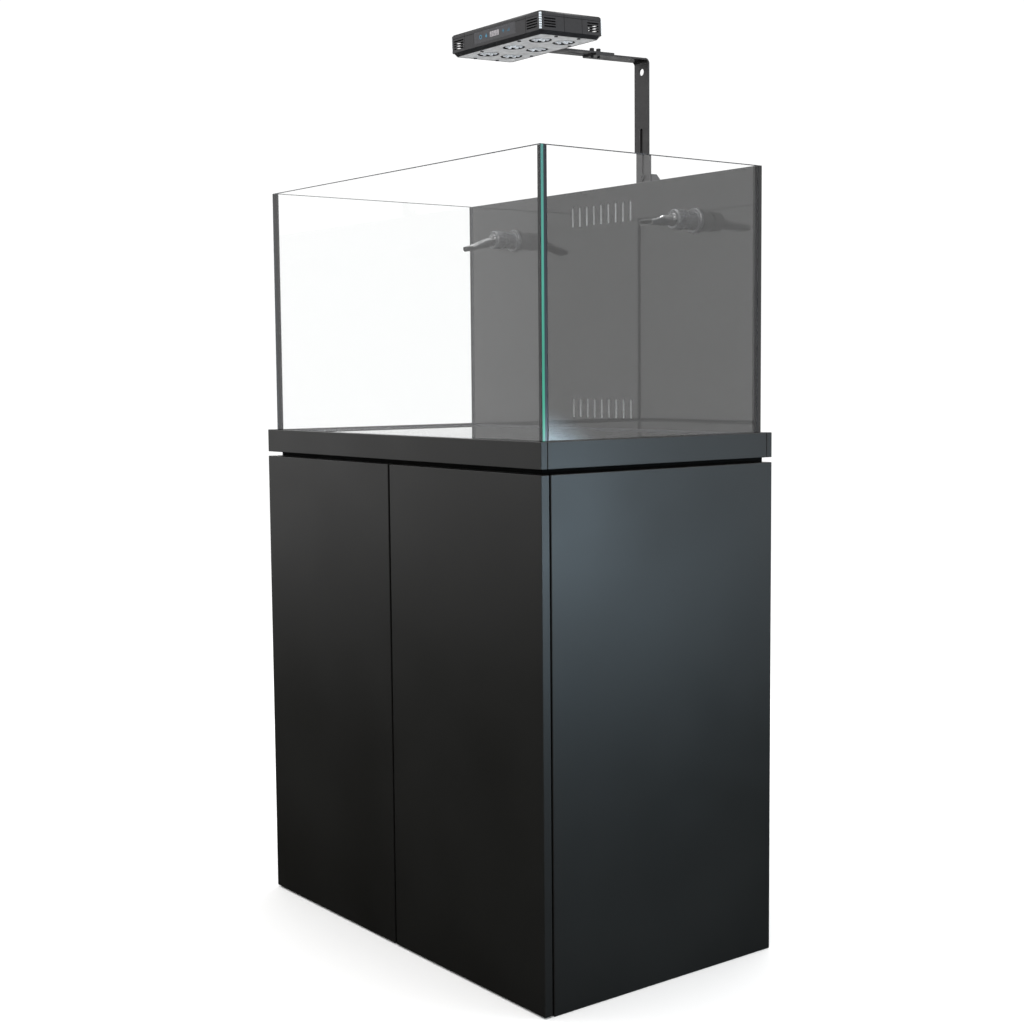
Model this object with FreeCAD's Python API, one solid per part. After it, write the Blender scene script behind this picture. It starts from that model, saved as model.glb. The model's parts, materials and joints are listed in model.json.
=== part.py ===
"""Rimless aquarium on a two-door cabinet, with a hang-on filter box and a lamp on an adjustable arm.

Units are millimetres. +Z is up, the doors face -Y and +X is to the right as seen from the front.
The origin lies on the floor, in the middle of the object's bounding box.
Depths are given as a distance behind the door fronts and turned into Y by depth().
"""
import FreeCAD
import Part
import math
import os

V = FreeCAD.Vector

# ---------------------------------------------------------------- driving dimensions
OVERALL_DEPTH = 600.0          # door fronts to the back of the clamp screw

CABINET_WIDTH = 800.0
CABINET_DEPTH = 476.0
CABINET_HEIGHT = 806.0
BOARD = 18.0                   # sides, top, bottom and rail
DOOR_THICK = 15.0
DOOR_STANDOFF = 3.0            # air between a door and the carcass
DOOR_SPLIT = 5.0               # gap between the two doors
DOOR_FLOOR_GAP = 2.5
BOTTOM_LIFT = 20.0             # underside of the bottom board above the floor
BACK_THICK = 6.0
BACK_INSET = 2.0
PORT_RADIUS = 30.0             # cable port in the back panel
PORT_HEIGHT = 640.0
RAIL_HEIGHT = 80.0
EDGE = 0.8                     # eased edge of a laminated board

SHADOW_GAP = 8.0
SPACER_SIDE_INSET = 20.0
TRAY_HEIGHT = 40.0
TRAY_BOARD = 12.0
TRAY_BASE = 16.0
BOARD_GAP = 0.5                 # open joint between the tray boards
MAT = 8.0

TANK_TOP = 1278.0
TANK_FIT = 0.5                 # air between the glass and the tray boards
GLASS = 10.0
REAR_GLASS = 8.0
FLOOR_GLASS = 12.0
SEAM = 1.0                     # silicone between two panes
POLISH = 0.7                   # polished arris of a pane

SLOT_COUNT = 9
SLOT_PITCH = 19.6
SLOT_WIDTH = 4.0
SLOT_LENGTH = 34.0
UPPER_SLOTS = 1232.0           # height of the middle of each row
LOWER_SLOTS = 888.0

NOZZLE_X = 240.0
NOZZLE_Z = 1202.0
NOZZLE_TILT = {"left": 17.0, "right": 7.0}      # degrees below level
BALL_REACH = 47.0              # rear pane to ball centre
BALL_R = 12.5
BALL_CLEAR = 0.3
NECK_R = 6.5
NECK_BORE = 4.6
FAN_REACH = 65.0               # ball centre to mouth
MOUTH_WIDTH = 34.0
MOUTH_HEIGHT = 9.0

FILTER_HALF = 135.0
FILTER_WALL = 6.0
FILTER_BACK = 570.0            # outer face of its back wall
FILTER_FLOOR = 857.0
FILTER_TOP = 1272.0            # just under the top of the tank, so that the lid stays hidden
BASKET_FLOOR = 1010.0
PIPE_R = 10.0
PIPE_BORE = 8.0
PIPE_DEPTH = 538.0
PUMP_X = 78.0

STRIP_WIDTH = 37.0
STRIP_THICK = 3.0
ARM_DEPTH = 557.5              # middle of the upright strip
ARM_TOP = 1513.0
ARM_FOOT = 1213.0
ARM_BEND = 9.0                 # outer radius of the bend
ARM_DROOP = 2.0                # degrees that the outer reach hangs
FOOT_SLOT_Z = 1307.5
FOOT_SLOT = 167.0
TONGUE_HALF = 7.0              # guide tongue of the clamp, behind the foot slot
TONGUE_TOP = 1396.0
CORD_HOLE_R = 6.3
OUTER_REACH = 124.0            # upright to the end of its level leg
INNER_START = 82.0             # upright to the rear end of the extension
SLOT_NEAR = 88.0               # upright to the two ends of the extension's slot
SLOT_FAR = 166.0
STRIP_LIFT = 0.05
TAB_HEIGHT = 28.0
TAB_SCREW_X = 11.0
TAB_SCREW_Z = 20.0             # above the lamp's underside
SCREW_REACH = (103.0, 118.0)   # upright to the two thumbscrews
BOLT_Z = (1304.0, 1266.0)

LAMP_LENGTH = 248.0
LAMP_WIDTH = 132.0
LAMP_SHELL = 31.0
LAMP_BEZEL = 6.0
LAMP_DEPTH = 291.0             # depth of its middle
LAMP_FACE = 1512.0             # height of its underside before the arm hangs
LAMP_WALL = 2.5
LAMP_CORNER = 4.0
LAMP_GROOVE = 0.7               # width and depth of its joint lines
PANEL_HALF = 58.0              # half the touch panel's width
LENS_R = 19.5
FAN_X = 66.0
INLET_X = -80.0                # power inlet in the lamp's back

HINGE_AXIS_IN = 7.0            # hinge pin behind the door front and in from its side
HINGE_HEIGHTS = (100.0, 680.0)
CUP_R = 17.5
CUP_DEPTH = 12.0
CUP_OFFSET = 19.5              # cup centre from the door's side
PIN_R = 1.2
LATCH_X = 60.0
LATCH_Z = 750.0
PUMP_HEIGHT = 56.0
PUMP_FEET = 6.0

FRONT_Y = -OVERALL_DEPTH / 2
HALF_WIDTH = CABINET_WIDTH / 2
CARCASS_FRONT = DOOR_THICK + DOOR_STANDOFF
RAIL_FRONT = CARCASS_FRONT + 2.0
PUMP_TOP = FILTER_FLOOR + FILTER_WALL + PUMP_FEET + PUMP_HEIGHT
TRAY_BOTTOM = CABINET_HEIGHT + SHADOW_GAP
TRAY_TOP = TRAY_BOTTOM + TRAY_HEIGHT
GLASS_FOOT = TRAY_BOTTOM + TRAY_BASE + MAT
TANK_HALF = HALF_WIDTH - TRAY_BOARD - TANK_FIT
TANK_FRONT = TRAY_BOARD + TANK_FIT
TANK_BACK = CABINET_DEPTH - TRAY_BOARD - TANK_FIT
PANE_FACE = TANK_BACK - REAR_GLASS  # front face of the rear pane
SIDES = (("left", -1), ("right", 1))

NODES = {}


# ---------------------------------------------------------------- helpers
def depth(d):
    """Y of a point d behind the door fronts."""
    return FRONT_Y + d


def block(x0, x1, d0, d1, z0, z1):
    return Part.makeBox(x1 - x0, d1 - d0, z1 - z0, V(x0, depth(d0), z0))


def eased(x0, x1, d0, d1, z0, z1, edge=EDGE):
    """A block with every edge chamfered."""
    shape = block(x0, x1, d0, d1, z0, z1)
    return shape.makeChamfer(edge, shape.Edges)


def rod(x, d, z, radius, length, direction):
    return Part.makeCylinder(radius, length, V(x, depth(d), z), V(*direction))


def slot_cutter(x, d0, d1, z, width, length):
    """An upright round-ended slot through the depths d0 to d1."""
    r = width / 2
    half = length / 2 - r
    middle = block(x - r, x + r, d0, d1, z - half, z + half)
    ends = [rod(x, d0, z + s * half, r, d1 - d0, (0, 1, 0)) for s in (-1, 1)]
    return middle.fuse(ends).removeSplitter()


def turned(profile, centre, direction=(0, -1, 0)):
    """A solid of revolution: profile is (radius, distance) points, distance along direction from centre."""
    points = [V(r, 0, t) for r, t in profile]
    wire = Part.makePolygon(points + [points[0]])
    solid = Part.Face(wire).revolve(V(0, 0, 0), V(0, 0, 1), 360)
    turn = FreeCAD.Rotation(V(0, 0, 1), V(*direction))
    solid.Placement = FreeCAD.Placement(centre, turn)
    return solid


def stadium(width, height, t, centre):
    """A closed outline with two straight sides and two half rounds, across -Y, at a distance t."""
    r = height / 2
    s = width / 2 - r
    y = centre.y - t

    def at(x, z):
        return V(centre.x + x, y, centre.z + z)

    edges = [
        Part.LineSegment(at(-s, r), at(s, r)).toShape(),
        Part.Arc(at(s, r), at(s + r, 0), at(s, -r)).toShape(),
        Part.LineSegment(at(s, -r), at(-s, -r)).toShape(),
        Part.Arc(at(-s, -r), at(-s - r, 0), at(-s, r)).toShape(),
    ]
    return Part.Wire(edges)


def flared(sections, centre):
    """A solid through rounded sections, each (width, height, distance)."""
    return Part.makeLoft([stadium(w, h, t, centre) for w, h, t in sections], True, True)


def mirrored(shape):
    return shape.mirror(V(0, 0, 0), V(1, 0, 0))


def add(name, *shapes):
    """Keeps a node: one or more separate closed solids."""
    solids = [s for shape in shapes for s in shape.Solids]
    NODES[name] = Part.makeCompound(solids) if len(solids) > 1 else solids[0]


# ---------------------------------------------------------------- cabinet
def carcass():
    inner = HALF_WIDTH - BOARD
    for name, side in SIDES:
        x0, x1 = sorted((side * inner, side * HALF_WIDTH))
        add(f"side_panel_{name}", eased(x0, x1, CARCASS_FRONT, CABINET_DEPTH, 0, CABINET_HEIGHT))
    back_face = CABINET_DEPTH - BACK_INSET
    board_back = back_face - BACK_THICK
    floor_top = BOTTOM_LIFT + BOARD
    ceiling = CABINET_HEIGHT - BOARD
    add("bottom_panel", block(-inner, inner, CARCASS_FRONT, board_back, BOTTOM_LIFT, floor_top))
    add("top_panel", block(-inner, inner, CARCASS_FRONT, board_back, ceiling, CABINET_HEIGHT))
    back = block(-inner, inner, board_back, back_face, BOTTOM_LIFT, CABINET_HEIGHT)
    port = rod(0, board_back - 1, PORT_HEIGHT, PORT_RADIUS, BACK_THICK + 2, (0, 1, 0))
    add("back_panel", back.cut(port))

    rail = block(-inner, inner, RAIL_FRONT, RAIL_FRONT + BOARD, ceiling - RAIL_HEIGHT, ceiling)
    holes = [rod(s * LATCH_X, RAIL_FRONT - 1, LATCH_Z, 6.0, BOARD + 2, (0, 1, 0)) for _, s in SIDES]
    add("front_rail", rail.cut(holes))

    side = HALF_WIDTH - SPACER_SIDE_INSET
    add("spacer_board", block(-side, side, CARCASS_FRONT, back_face, CABINET_HEIGHT, TRAY_BOTTOM))


def doors():
    """Two full-overlay doors, bored for their hinge cups."""
    for name, side in SIDES:
        x0, x1 = sorted((side * DOOR_SPLIT / 2, side * HALF_WIDTH))
        panel = eased(x0, x1, 0, DOOR_THICK, DOOR_FLOOR_GAP, CABINET_HEIGHT)
        cup_x = side * (HALF_WIDTH - CUP_OFFSET)
        cup_floor = DOOR_THICK - CUP_DEPTH
        bores = [rod(cup_x, cup_floor, z, CUP_R, CUP_DEPTH + 1, (0, 1, 0)) for z in HINGE_HEIGHTS]
        add(f"door_{name}", panel.cut(bores))


def hinge_cup(side, z):
    """A pressed cup with two lugs that hold the hinge pin, sunk in the back of a door."""
    wall = 1.5
    floor = DOOR_THICK - CUP_DEPTH
    cup_x = side * (HALF_WIDTH - CUP_OFFSET)
    pin_x = side * (HALF_WIDTH - HINGE_AXIS_IN)
    outer = rod(cup_x, floor, z, CUP_R, CUP_DEPTH, (0, 1, 0))
    hollow = rod(cup_x, floor + wall, z, CUP_R - wall, CUP_DEPTH, (0, 1, 0))
    cup = outer.cut(hollow)
    for way in (-1, 1):
        z0, z1 = sorted((z + way * 6.0, z + way * 12.0))
        lug = block(pin_x - 3.5, pin_x + 3.5, floor + 0.5, HINGE_AXIS_IN + 3.5, z0, z1)
        cup = cup.fuse(lug.common(outer))
    pin = rod(pin_x, HINGE_AXIS_IN, z - 8, PIN_R, 16, (0, 0, 1))
    return cup.fuse(pin).removeSplitter()


def hinge_arm(side, z):
    """A cranked arm on a screwed base plate. Its knuckle turns on the pin inside the cup."""
    thick = 2.6
    half = 3.9
    inner = HALF_WIDTH - BOARD
    pin_x = HALF_WIDTH - HINGE_AXIS_IN
    leg_x = inner - 8.0
    d0 = HINGE_AXIS_IN - thick / 2
    d1 = HINGE_AXIS_IN + thick / 2
    knuckle = rod(pin_x, HINGE_AXIS_IN, z - half, 2.3, 2 * half, (0, 0, 1))
    reach = block(leg_x, pin_x, d0, d1, z - half, z + half)
    leg = block(leg_x, leg_x + 4.0, d0, CARCASS_FRONT + 46, z - half, z + half)
    plate = block(leg_x + 4.0, inner, CARCASS_FRONT + 14, CARCASS_FRONT + 48, z - 22, z + 22)
    screws = [rod(leg_x + 4.0, CARCASS_FRONT + 31, z + s * 15, 4.0, 2.0, (-1, 0, 0)) for s in (-1, 1)]
    arm = knuckle.fuse([reach, leg, plate] + screws)
    pin_bore = rod(pin_x, HINGE_AXIS_IN, z - half - 1, PIN_R + 0.06, 2 * half + 2, (0, 0, 1))
    arm = arm.cut(pin_bore).removeSplitter()
    return arm if side > 0 else mirrored(arm)


def hinges():
    for name, side in SIDES:
        add(f"hinge_cups_{name}", *[hinge_cup(side, z) for z in HINGE_HEIGHTS])
    add("hinge_arms", *[hinge_arm(side, z) for _, side in SIDES for z in HINGE_HEIGHTS])


def push_latches():
    """Spring latches in the rail. A press on the door lets the plunger push it open."""
    body_length = 42.0
    housings = []
    for name, side in SIDES:
        x = side * LATCH_X
        flange = rod(x, RAIL_FRONT - 1.5, LATCH_Z, 9.0, 1.5, (0, 1, 0))
        barrel = rod(x, RAIL_FRONT, LATCH_Z, 6.0, body_length, (0, 1, 0))
        bore = rod(x, RAIL_FRONT - 2, LATCH_Z, 3.35, body_length - 2, (0, 1, 0))
        housings.append(flange.fuse(barrel).cut(bore).removeSplitter())
        tip = DOOR_THICK + 0.3
        stem = rod(x, tip, LATCH_Z, 3.0, 30.0, (0, 1, 0))
        add(f"latch_plunger_{name}", stem.makeChamfer(0.6, [stem.Edges[2]]))
    add("latch_housings", *housings)


# ---------------------------------------------------------------- tray and tank
def tray():
    side_in = HALF_WIDTH - TRAY_BOARD
    rear = CABINET_DEPTH - TRAY_BOARD
    add("tray_board_front", eased(-HALF_WIDTH, HALF_WIDTH, 0, TRAY_BOARD, TRAY_BOTTOM, TRAY_TOP))
    add("tray_board_rear", eased(-HALF_WIDTH, HALF_WIDTH, rear, CABINET_DEPTH, TRAY_BOTTOM, TRAY_TOP))
    for name, side in SIDES:
        x0, x1 = sorted((side * side_in, side * HALF_WIDTH))
        d0, d1 = TRAY_BOARD + BOARD_GAP, rear - BOARD_GAP
        add(f"tray_board_{name}", eased(x0, x1, d0, d1, TRAY_BOTTOM, TRAY_TOP))
    add("tray_base", block(-side_in, side_in, TRAY_BOARD, rear, TRAY_BOTTOM, TRAY_BOTTOM + TRAY_BASE))
    mat = block(-TANK_HALF, TANK_HALF, TANK_FRONT, TANK_BACK, TRAY_BOTTOM + TRAY_BASE, GLASS_FOOT)
    add("tank_mat", mat)


def tank():
    """Five bonded panes. The rear one is opaque, slotted for the filter and bored for the returns."""
    front_in = TANK_FRONT + GLASS
    inner = TANK_HALF - GLASS
    pane = dict(edge=POLISH)
    add("glass_front", eased(-TANK_HALF, TANK_HALF, TANK_FRONT, front_in, GLASS_FOOT, TANK_TOP, **pane))
    side_front, side_back = front_in + SEAM, PANE_FACE - SEAM
    for name, side in SIDES:
        x0, x1 = sorted((side * inner, side * TANK_HALF))
        add(f"glass_{name}", eased(x0, x1, side_front, side_back, GLASS_FOOT, TANK_TOP, **pane))
    floor_half = inner - SEAM
    floor_top = GLASS_FOOT + FLOOR_GLASS
    floor = eased(-floor_half, floor_half, side_front, side_back, GLASS_FOOT, floor_top, **pane)
    add("glass_bottom", floor)

    rear = eased(-TANK_HALF, TANK_HALF, PANE_FACE, TANK_BACK, GLASS_FOOT, TANK_TOP, **pane)
    first = -(SLOT_COUNT - 1) / 2 * SLOT_PITCH
    cutters = []
    for row in (UPPER_SLOTS, LOWER_SLOTS):
        for i in range(SLOT_COUNT):
            x = first + i * SLOT_PITCH
            cutters.append(slot_cutter(x, PANE_FACE - 1, TANK_BACK + 1, row, SLOT_WIDTH, SLOT_LENGTH))
    for _, side in SIDES:
        cutters.append(rod(side * NOZZLE_X, PANE_FACE - 1, NOZZLE_Z, 13.2, REAR_GLASS + 2, (0, 1, 0)))
    add("rear_pane", rear.cut(cutters))

    beads = []
    for _, side in SIDES:
        x0, x1 = sorted((side * (inner + 0.6), side * (TANK_HALF - 0.6)))
        beads.append(block(x0, x1, front_in, side_front, GLASS_FOOT, TANK_TOP - 1))
        beads.append(block(x0, x1, side_back, PANE_FACE, GLASS_FOOT, TANK_TOP - 1))
        x0, x1 = sorted((side * floor_half, side * inner))
        beads.append(block(x0, x1, side_front, side_back, GLASS_FOOT + 1, floor_top - 1))
    beads.append(block(-inner, inner, front_in, side_front, GLASS_FOOT + 1, floor_top - 1))
    beads.append(block(-inner, inner, side_back, PANE_FACE, GLASS_FOOT + 1, floor_top - 1))
    add("silicone_seams", *beads)


# ---------------------------------------------------------------- filter box and returns
def filter_box():
    """A clear box bonded to the back of the rear pane, round both rows of slots."""
    inner = FILTER_HALF - FILTER_WALL
    back_in = FILTER_BACK - FILTER_WALL
    outer = block(-FILTER_HALF, FILTER_HALF, TANK_BACK, FILTER_BACK, FILTER_FLOOR, FILTER_TOP)
    hollow = block(-inner, inner, TANK_BACK - 1, back_in, FILTER_FLOOR + FILTER_WALL, FILTER_TOP + 1)
    box = outer.cut(hollow)
    pipe_way = rod(-FILTER_HALF - 1, PIPE_DEPTH, NOZZLE_Z, PIPE_R + 0.1, 2 * FILTER_HALF + 2, (1, 0, 0))
    box = box.cut(pipe_way.common(outer))
    add("filter_box", box)

    lid_low, lid_top = FILTER_TOP + 0.5, FILTER_TOP + 4.5
    lid = block(-FILTER_HALF, FILTER_HALF, TANK_BACK + 1, FILTER_BACK - 20, lid_low, lid_top)
    locator = block(-inner + 1, inner - 1, TANK_BACK + 2, FILTER_BACK - 24, lid_low - 4.5, lid_low)
    grip = rod(0, TANK_BACK + 40, lid_top, 9.0, 7.0, (0, 0, 1))
    notch = block(-22, 22, FILTER_BACK - 27, FILTER_BACK, lid_low - 5, lid_top + 1)
    add("filter_lid", lid.fuse([locator, grip]).cut(notch).removeSplitter())

    media_basket(inner)


def media_basket(inner):
    """An open-topped basket of filter sponge, with windows facing the upper slots and in its floor."""
    x0, x1 = -inner + 3, 44.0
    d0, d1 = TANK_BACK + 4, PIPE_DEPTH - PIPE_R - 6
    z0, z1 = BASKET_FLOOR, FILTER_TOP - 8
    basket = block(x0, x1, d0, d1, z0, z1).cut(block(x0 + 3, x1 - 3, d0 + 3, d1 - 3, z0 + 3, z1 + 1))
    middle = (d0 + d1) / 2
    windows = []
    for i in range(7):
        x = x0 + 16 + i * 22.5
        windows.append(block(x - 6, x + 6, d0 - 1, d0 + 4, z1 - 62, z1 - 12))
        windows.append(block(x - 6, x + 6, middle - 16, middle + 16, z0 - 1, z0 + 4))
    add("media_basket", basket.cut(windows))
    sponge = block(x0 + 4, x1 - 4, d0 + 4, d1 - 4, z0 + 3, z1 - 70)
    add("filter_sponge", sponge.makeFillet(2.0, sponge.Edges))


def return_pump():
    """A small submersible pump on four feet, with its impeller in a slotted chamber at one end."""
    low = FILTER_FLOOR + FILTER_WALL + PUMP_FEET
    d0, d1 = PIPE_DEPTH - 48, PIPE_DEPTH + 20
    motor = block(PUMP_X - 24, PUMP_X + 28, d0, d1, low, PUMP_TOP)
    motor = motor.makeFillet(6.0, motor.Edges)
    axis_d, axis_z = PIPE_DEPTH - 14, low + 26
    chamber = rod(PUMP_X - 44, axis_d, axis_z, 21.0, 22.0, (1, 0, 0))
    outlet = rod(PUMP_X, PIPE_DEPTH, PUMP_TOP - 2, PIPE_R + 3, 18.0, (0, 0, 1))
    feet = []
    for x in (PUMP_X - 14, PUMP_X + 18):
        for d in (d0 + 12, d1 - 12):
            profile = [(0, 0), (8, 0), (5, 4), (3, PUMP_FEET + 2), (0, PUMP_FEET + 2)]
            feet.append(turned(profile, V(x, depth(d), low - PUMP_FEET), (0, 0, 1)))
    pump = motor.fuse([chamber, outlet] + feet)
    cuts = [rod(PUMP_X, PIPE_DEPTH, PUMP_TOP, PIPE_R + 0.05, 30.0, (0, 0, 1))]
    cuts.append(rod(PUMP_X - 42, axis_d, axis_z, 18.5, 15.0, (1, 0, 0)))
    for i in range(7):
        half = 13 - abs(i - 3) * 2
        z = axis_z - 16 + i * 5
        cuts.append(block(PUMP_X - 45, PUMP_X - 41, axis_d - half, axis_d + half, z, z + 2.4))
    add("return_pump", pump.cut(cuts).removeSplitter())

    hub = rod(PUMP_X - 41, axis_d, axis_z, 5.0, 13.0, (1, 0, 0))
    vanes = []
    for k in range(6):
        vane = block(PUMP_X - 41, PUMP_X - 31, axis_d - 1, axis_d + 1, axis_z + 4, axis_z + 16)
        vane.rotate(V(0, depth(axis_d), axis_z), V(1, 0, 0), k * 60)
        vanes.append(vane)
    add("pump_impeller", hub.fuse(vanes).removeSplitter())


def return_pipes():
    """One glued pipe: a riser, a level run through both box walls and an elbow to each wall fitting."""
    end = TANK_BACK + 6
    start = PUMP_TOP + 0.1

    def run(radius, extra):
        level = rod(-NOZZLE_X, PIPE_DEPTH, NOZZLE_Z, radius, 2 * NOZZLE_X, (1, 0, 0))
        parts = [rod(PUMP_X, PIPE_DEPTH, start - extra, radius, NOZZLE_Z - start + extra, (0, 0, 1))]
        for _, side in SIDES:
            x = side * NOZZLE_X
            parts.append(rod(x, end - extra, NOZZLE_Z, radius, PIPE_DEPTH - end + extra, (0, 1, 0)))
            parts.append(Part.makeSphere(radius, V(x, depth(PIPE_DEPTH), NOZZLE_Z)))
        return level.fuse(parts)

    pipe = run(PIPE_R, 0.0).cut(run(PIPE_BORE, 1.0))
    add("return_pipes", pipe.removeSplitter())


def wall_fittings():
    """Fittings through the rear pane, each with a flange in the tank and a nut behind."""
    nuts, fittings = [], []
    for name, side in SIDES:
        centre = V(side * NOZZLE_X, depth(PANE_FACE), NOZZLE_Z)
        back = -(REAR_GLASS + 22)
        stop = -(REAR_GLASS + 5.9)
        shoulder = BALL_REACH - 19
        end = BALL_REACH - 6.5
        outline = [
            (PIPE_BORE, stop), (PIPE_R + 0.05, stop), (PIPE_R + 0.05, back), (13.0, back),
            (13.0, 0), (20.2, 0), (21.0, 0.8), (21.0, 5.6), (19.6, 7.0), (16.2, 7.0), (15.5, 8.0),
            (15.5, shoulder), (14.5, shoulder + 1), (13.4, shoulder + 1), (13.4, end), (PIPE_BORE, end),
        ]
        body = turned(outline, centre)
        ball_centre = V(centre.x, centre.y - BALL_REACH, centre.z)
        fittings.append(body.cut(Part.makeSphere(BALL_R + BALL_CLEAR, ball_centre)))

        turns = [math.radians(a) for a in range(0, 361, 60)]
        across = [V(22 * math.cos(a), 0, 22 * math.sin(a)) for a in turns]
        foot = V(centre.x, depth(TANK_BACK), centre.z)
        nut = Part.Face(Part.makePolygon([foot + v for v in across])).extrude(V(0, 9, 0))
        bore = rod(centre.x, TANK_BACK - 1, centre.z, 13.0, 12, (0, 1, 0))
        nuts.append(nut.cut(bore))
        add(f"union_ring_{name}", union_ring(centre, ball_centre))
    add("wall_fittings", *fittings)
    add("wall_nuts", *nuts)


def union_ring(centre, ball_centre):
    """A ribbed ring nut that holds the ball against its seat."""
    start, step, stop = BALL_REACH - 17, BALL_REACH - 6, BALL_REACH + 5.5
    ring = turned([(13.5, start), (17.0, start), (17.0, stop - 3), (15.0, stop), (9.0, stop), (9.0, step),
                   (13.5, step)], centre)
    ring = ring.cut(Part.makeSphere(BALL_R + BALL_CLEAR, ball_centre))
    grooves = []
    for i in range(16):
        a = math.radians(i * 360 / 16)
        x, z = centre.x + 17.4 * math.cos(a), centre.z + 17.4 * math.sin(a)
        grooves.append(Part.makeCylinder(1.0, stop - start, V(x, centre.y - start, z), V(0, -1, 0)))
    return ring.cut(grooves)


def nozzles():
    """The ball with its neck, and the flat fan nozzle that turns on the neck."""
    for name, side in SIDES:
        centre = V(side * NOZZLE_X, depth(PANE_FACE) - BALL_REACH, NOZZLE_Z)
        neck_end = 25.0
        outline = [(NECK_BORE, 0), (NECK_R, 0), (NECK_R, neck_end - 1), (NECK_R - 1, neck_end),
                   (NECK_BORE, neck_end)]
        neck = turned(outline, centre)
        ball = Part.makeSphere(BALL_R, centre).fuse(neck)
        bore = Part.makeCylinder(NECK_BORE, 60.0, V(centre.x, centre.y + 20, centre.z), V(0, -1, 0))
        ball = ball.cut(bore).removeSplitter()

        start, waist = 15.5, 28.0
        seat, grip = NECK_R + 0.05, NECK_R + 2.0
        tail = turned([(seat, start), (grip - 0.5, start), (grip, start + 1), (grip, waist),
                       (seat, waist)], centre)
        outer = flared([(2 * grip + 0.1, 2 * grip, waist), (21.0, 12.8, 38.0), (28.5, 9.8, 51.0),
                        (MOUTH_WIDTH, MOUTH_HEIGHT, FAN_REACH)], centre)
        inner = flared([(2 * seat + 0.05, 2 * seat - 0.05, waist - 0.5), (17.5, 9.4, 38.0), (25.2, 6.6, 51.0),
                        (MOUTH_WIDTH - 3.2, MOUTH_HEIGHT - 3.2, FAN_REACH + 0.5)], centre)
        fan = tail.fuse(outer.cut(inner))
        tilt = NOZZLE_TILT[name]
        for node, shape in ((f"swivel_ball_{name}", ball), (f"fan_nozzle_{name}", fan)):
            shape.rotate(centre, V(1, 0, 0), tilt)
            add(node, shape)


# ---------------------------------------------------------------- lamp arm
def droop(shape):
    """Turns a shape built level into the hanging line of the arm, about the bend."""
    shape.rotate(V(0, depth(ARM_DEPTH), ARM_TOP), V(1, 0, 0), ARM_DROOP)
    return shape


def arm_upright():
    """A bent strip: slotted foot, round hole for the cord, and a level leg with two screw holes."""
    half = STRIP_WIDTH / 2
    front = ARM_DEPTH - STRIP_THICK / 2
    rear = ARM_DEPTH + STRIP_THICK / 2
    turn_z = ARM_TOP - ARM_BEND
    upright = block(-half, half, front, rear, ARM_FOOT, turn_z)
    leg_low = ARM_TOP - STRIP_THICK
    leg = droop(block(-half, half, ARM_DEPTH - OUTER_REACH, rear - ARM_BEND, leg_low, ARM_TOP))
    bend_axis = V(-half, depth(rear - ARM_BEND), turn_z)
    bend = Part.makeCylinder(ARM_BEND, STRIP_WIDTH, bend_axis, V(1, 0, 0))
    bend = bend.cut(Part.makeCylinder(ARM_BEND - STRIP_THICK, STRIP_WIDTH, bend_axis, V(1, 0, 0)))
    quarter = block(-half, half, rear - ARM_BEND - 0.6, rear, turn_z, ARM_TOP)
    strip = upright.fuse([bend.common(quarter), leg]).removeSplitter()
    foot_slot = slot_cutter(0, front - 1, rear + 1, FOOT_SLOT_Z, 6.4, FOOT_SLOT)
    cord_hole = rod(0, front - 1, ARM_TOP - 22.0, CORD_HOLE_R, STRIP_THICK + 2, (0, 1, 0))
    holes = [droop(rod(0, ARM_DEPTH - r, leg_low - 1, 2.56, STRIP_THICK + 2, (0, 0, 1))) for r in SCREW_REACH]
    add("arm_upright", strip.cut([foot_slot, cord_hole] + holes))


def arm_extension():
    """A slotted strip that lies on the upright's leg, turned up at the lamp's back and screwed to it."""
    half = STRIP_WIDTH / 2
    base = ARM_TOP + STRIP_LIFT
    face = LAMP_DEPTH + LAMP_WIDTH / 2 + 0.05
    strip = block(-half, half, face, ARM_DEPTH - INNER_START, base, base + STRIP_THICK)
    tab = block(-half, half, face, face + STRIP_THICK, base, base + TAB_HEIGHT)
    x_edges = [e for e in tab.Edges if e.BoundBox.ZMin > base + TAB_HEIGHT - 0.1 and e.BoundBox.XLength < 1]
    tab = tab.makeFillet(6.0, x_edges)
    slot = block(-2.8, 2.8, ARM_DEPTH - SLOT_FAR, ARM_DEPTH - SLOT_NEAR, base - 1, base + STRIP_THICK + 1)
    hole_z = LAMP_FACE + TAB_SCREW_Z
    holes = [rod(s * TAB_SCREW_X, face - 1, hole_z, 2.1, STRIP_THICK + 2, (0, 1, 0)) for s in (-1, 1)]
    add("arm_extension", droop(strip.fuse(tab).removeSplitter().cut([slot] + holes)))


def thumbscrews():
    top = ARM_TOP + STRIP_LIFT + STRIP_THICK
    for name, reach in zip(("rear", "front"), SCREW_REACH):
        low = ARM_TOP - STRIP_THICK - 2.5
        stem = rod(0, ARM_DEPTH - reach, low, 2.5, top - low + 1, (0, 0, 1))
        head = rod(0, ARM_DEPTH - reach, top + 0.05, 4.0, 8.5, (0, 0, 1))
        head = head.makeChamfer(0.6, [head.Edges[0]])
        grooves = []
        for i in range(12):
            a = math.radians(i * 360 / 12)
            x, d = 4.1 * math.cos(a), ARM_DEPTH - reach + 4.1 * math.sin(a)
            grooves.append(rod(x, d, top, 0.4, 9.5, (0, 0, 1)))
        add(f"thumbscrew_{name}", droop(stem.fuse(head.cut(grooves)).removeSplitter()))


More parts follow.
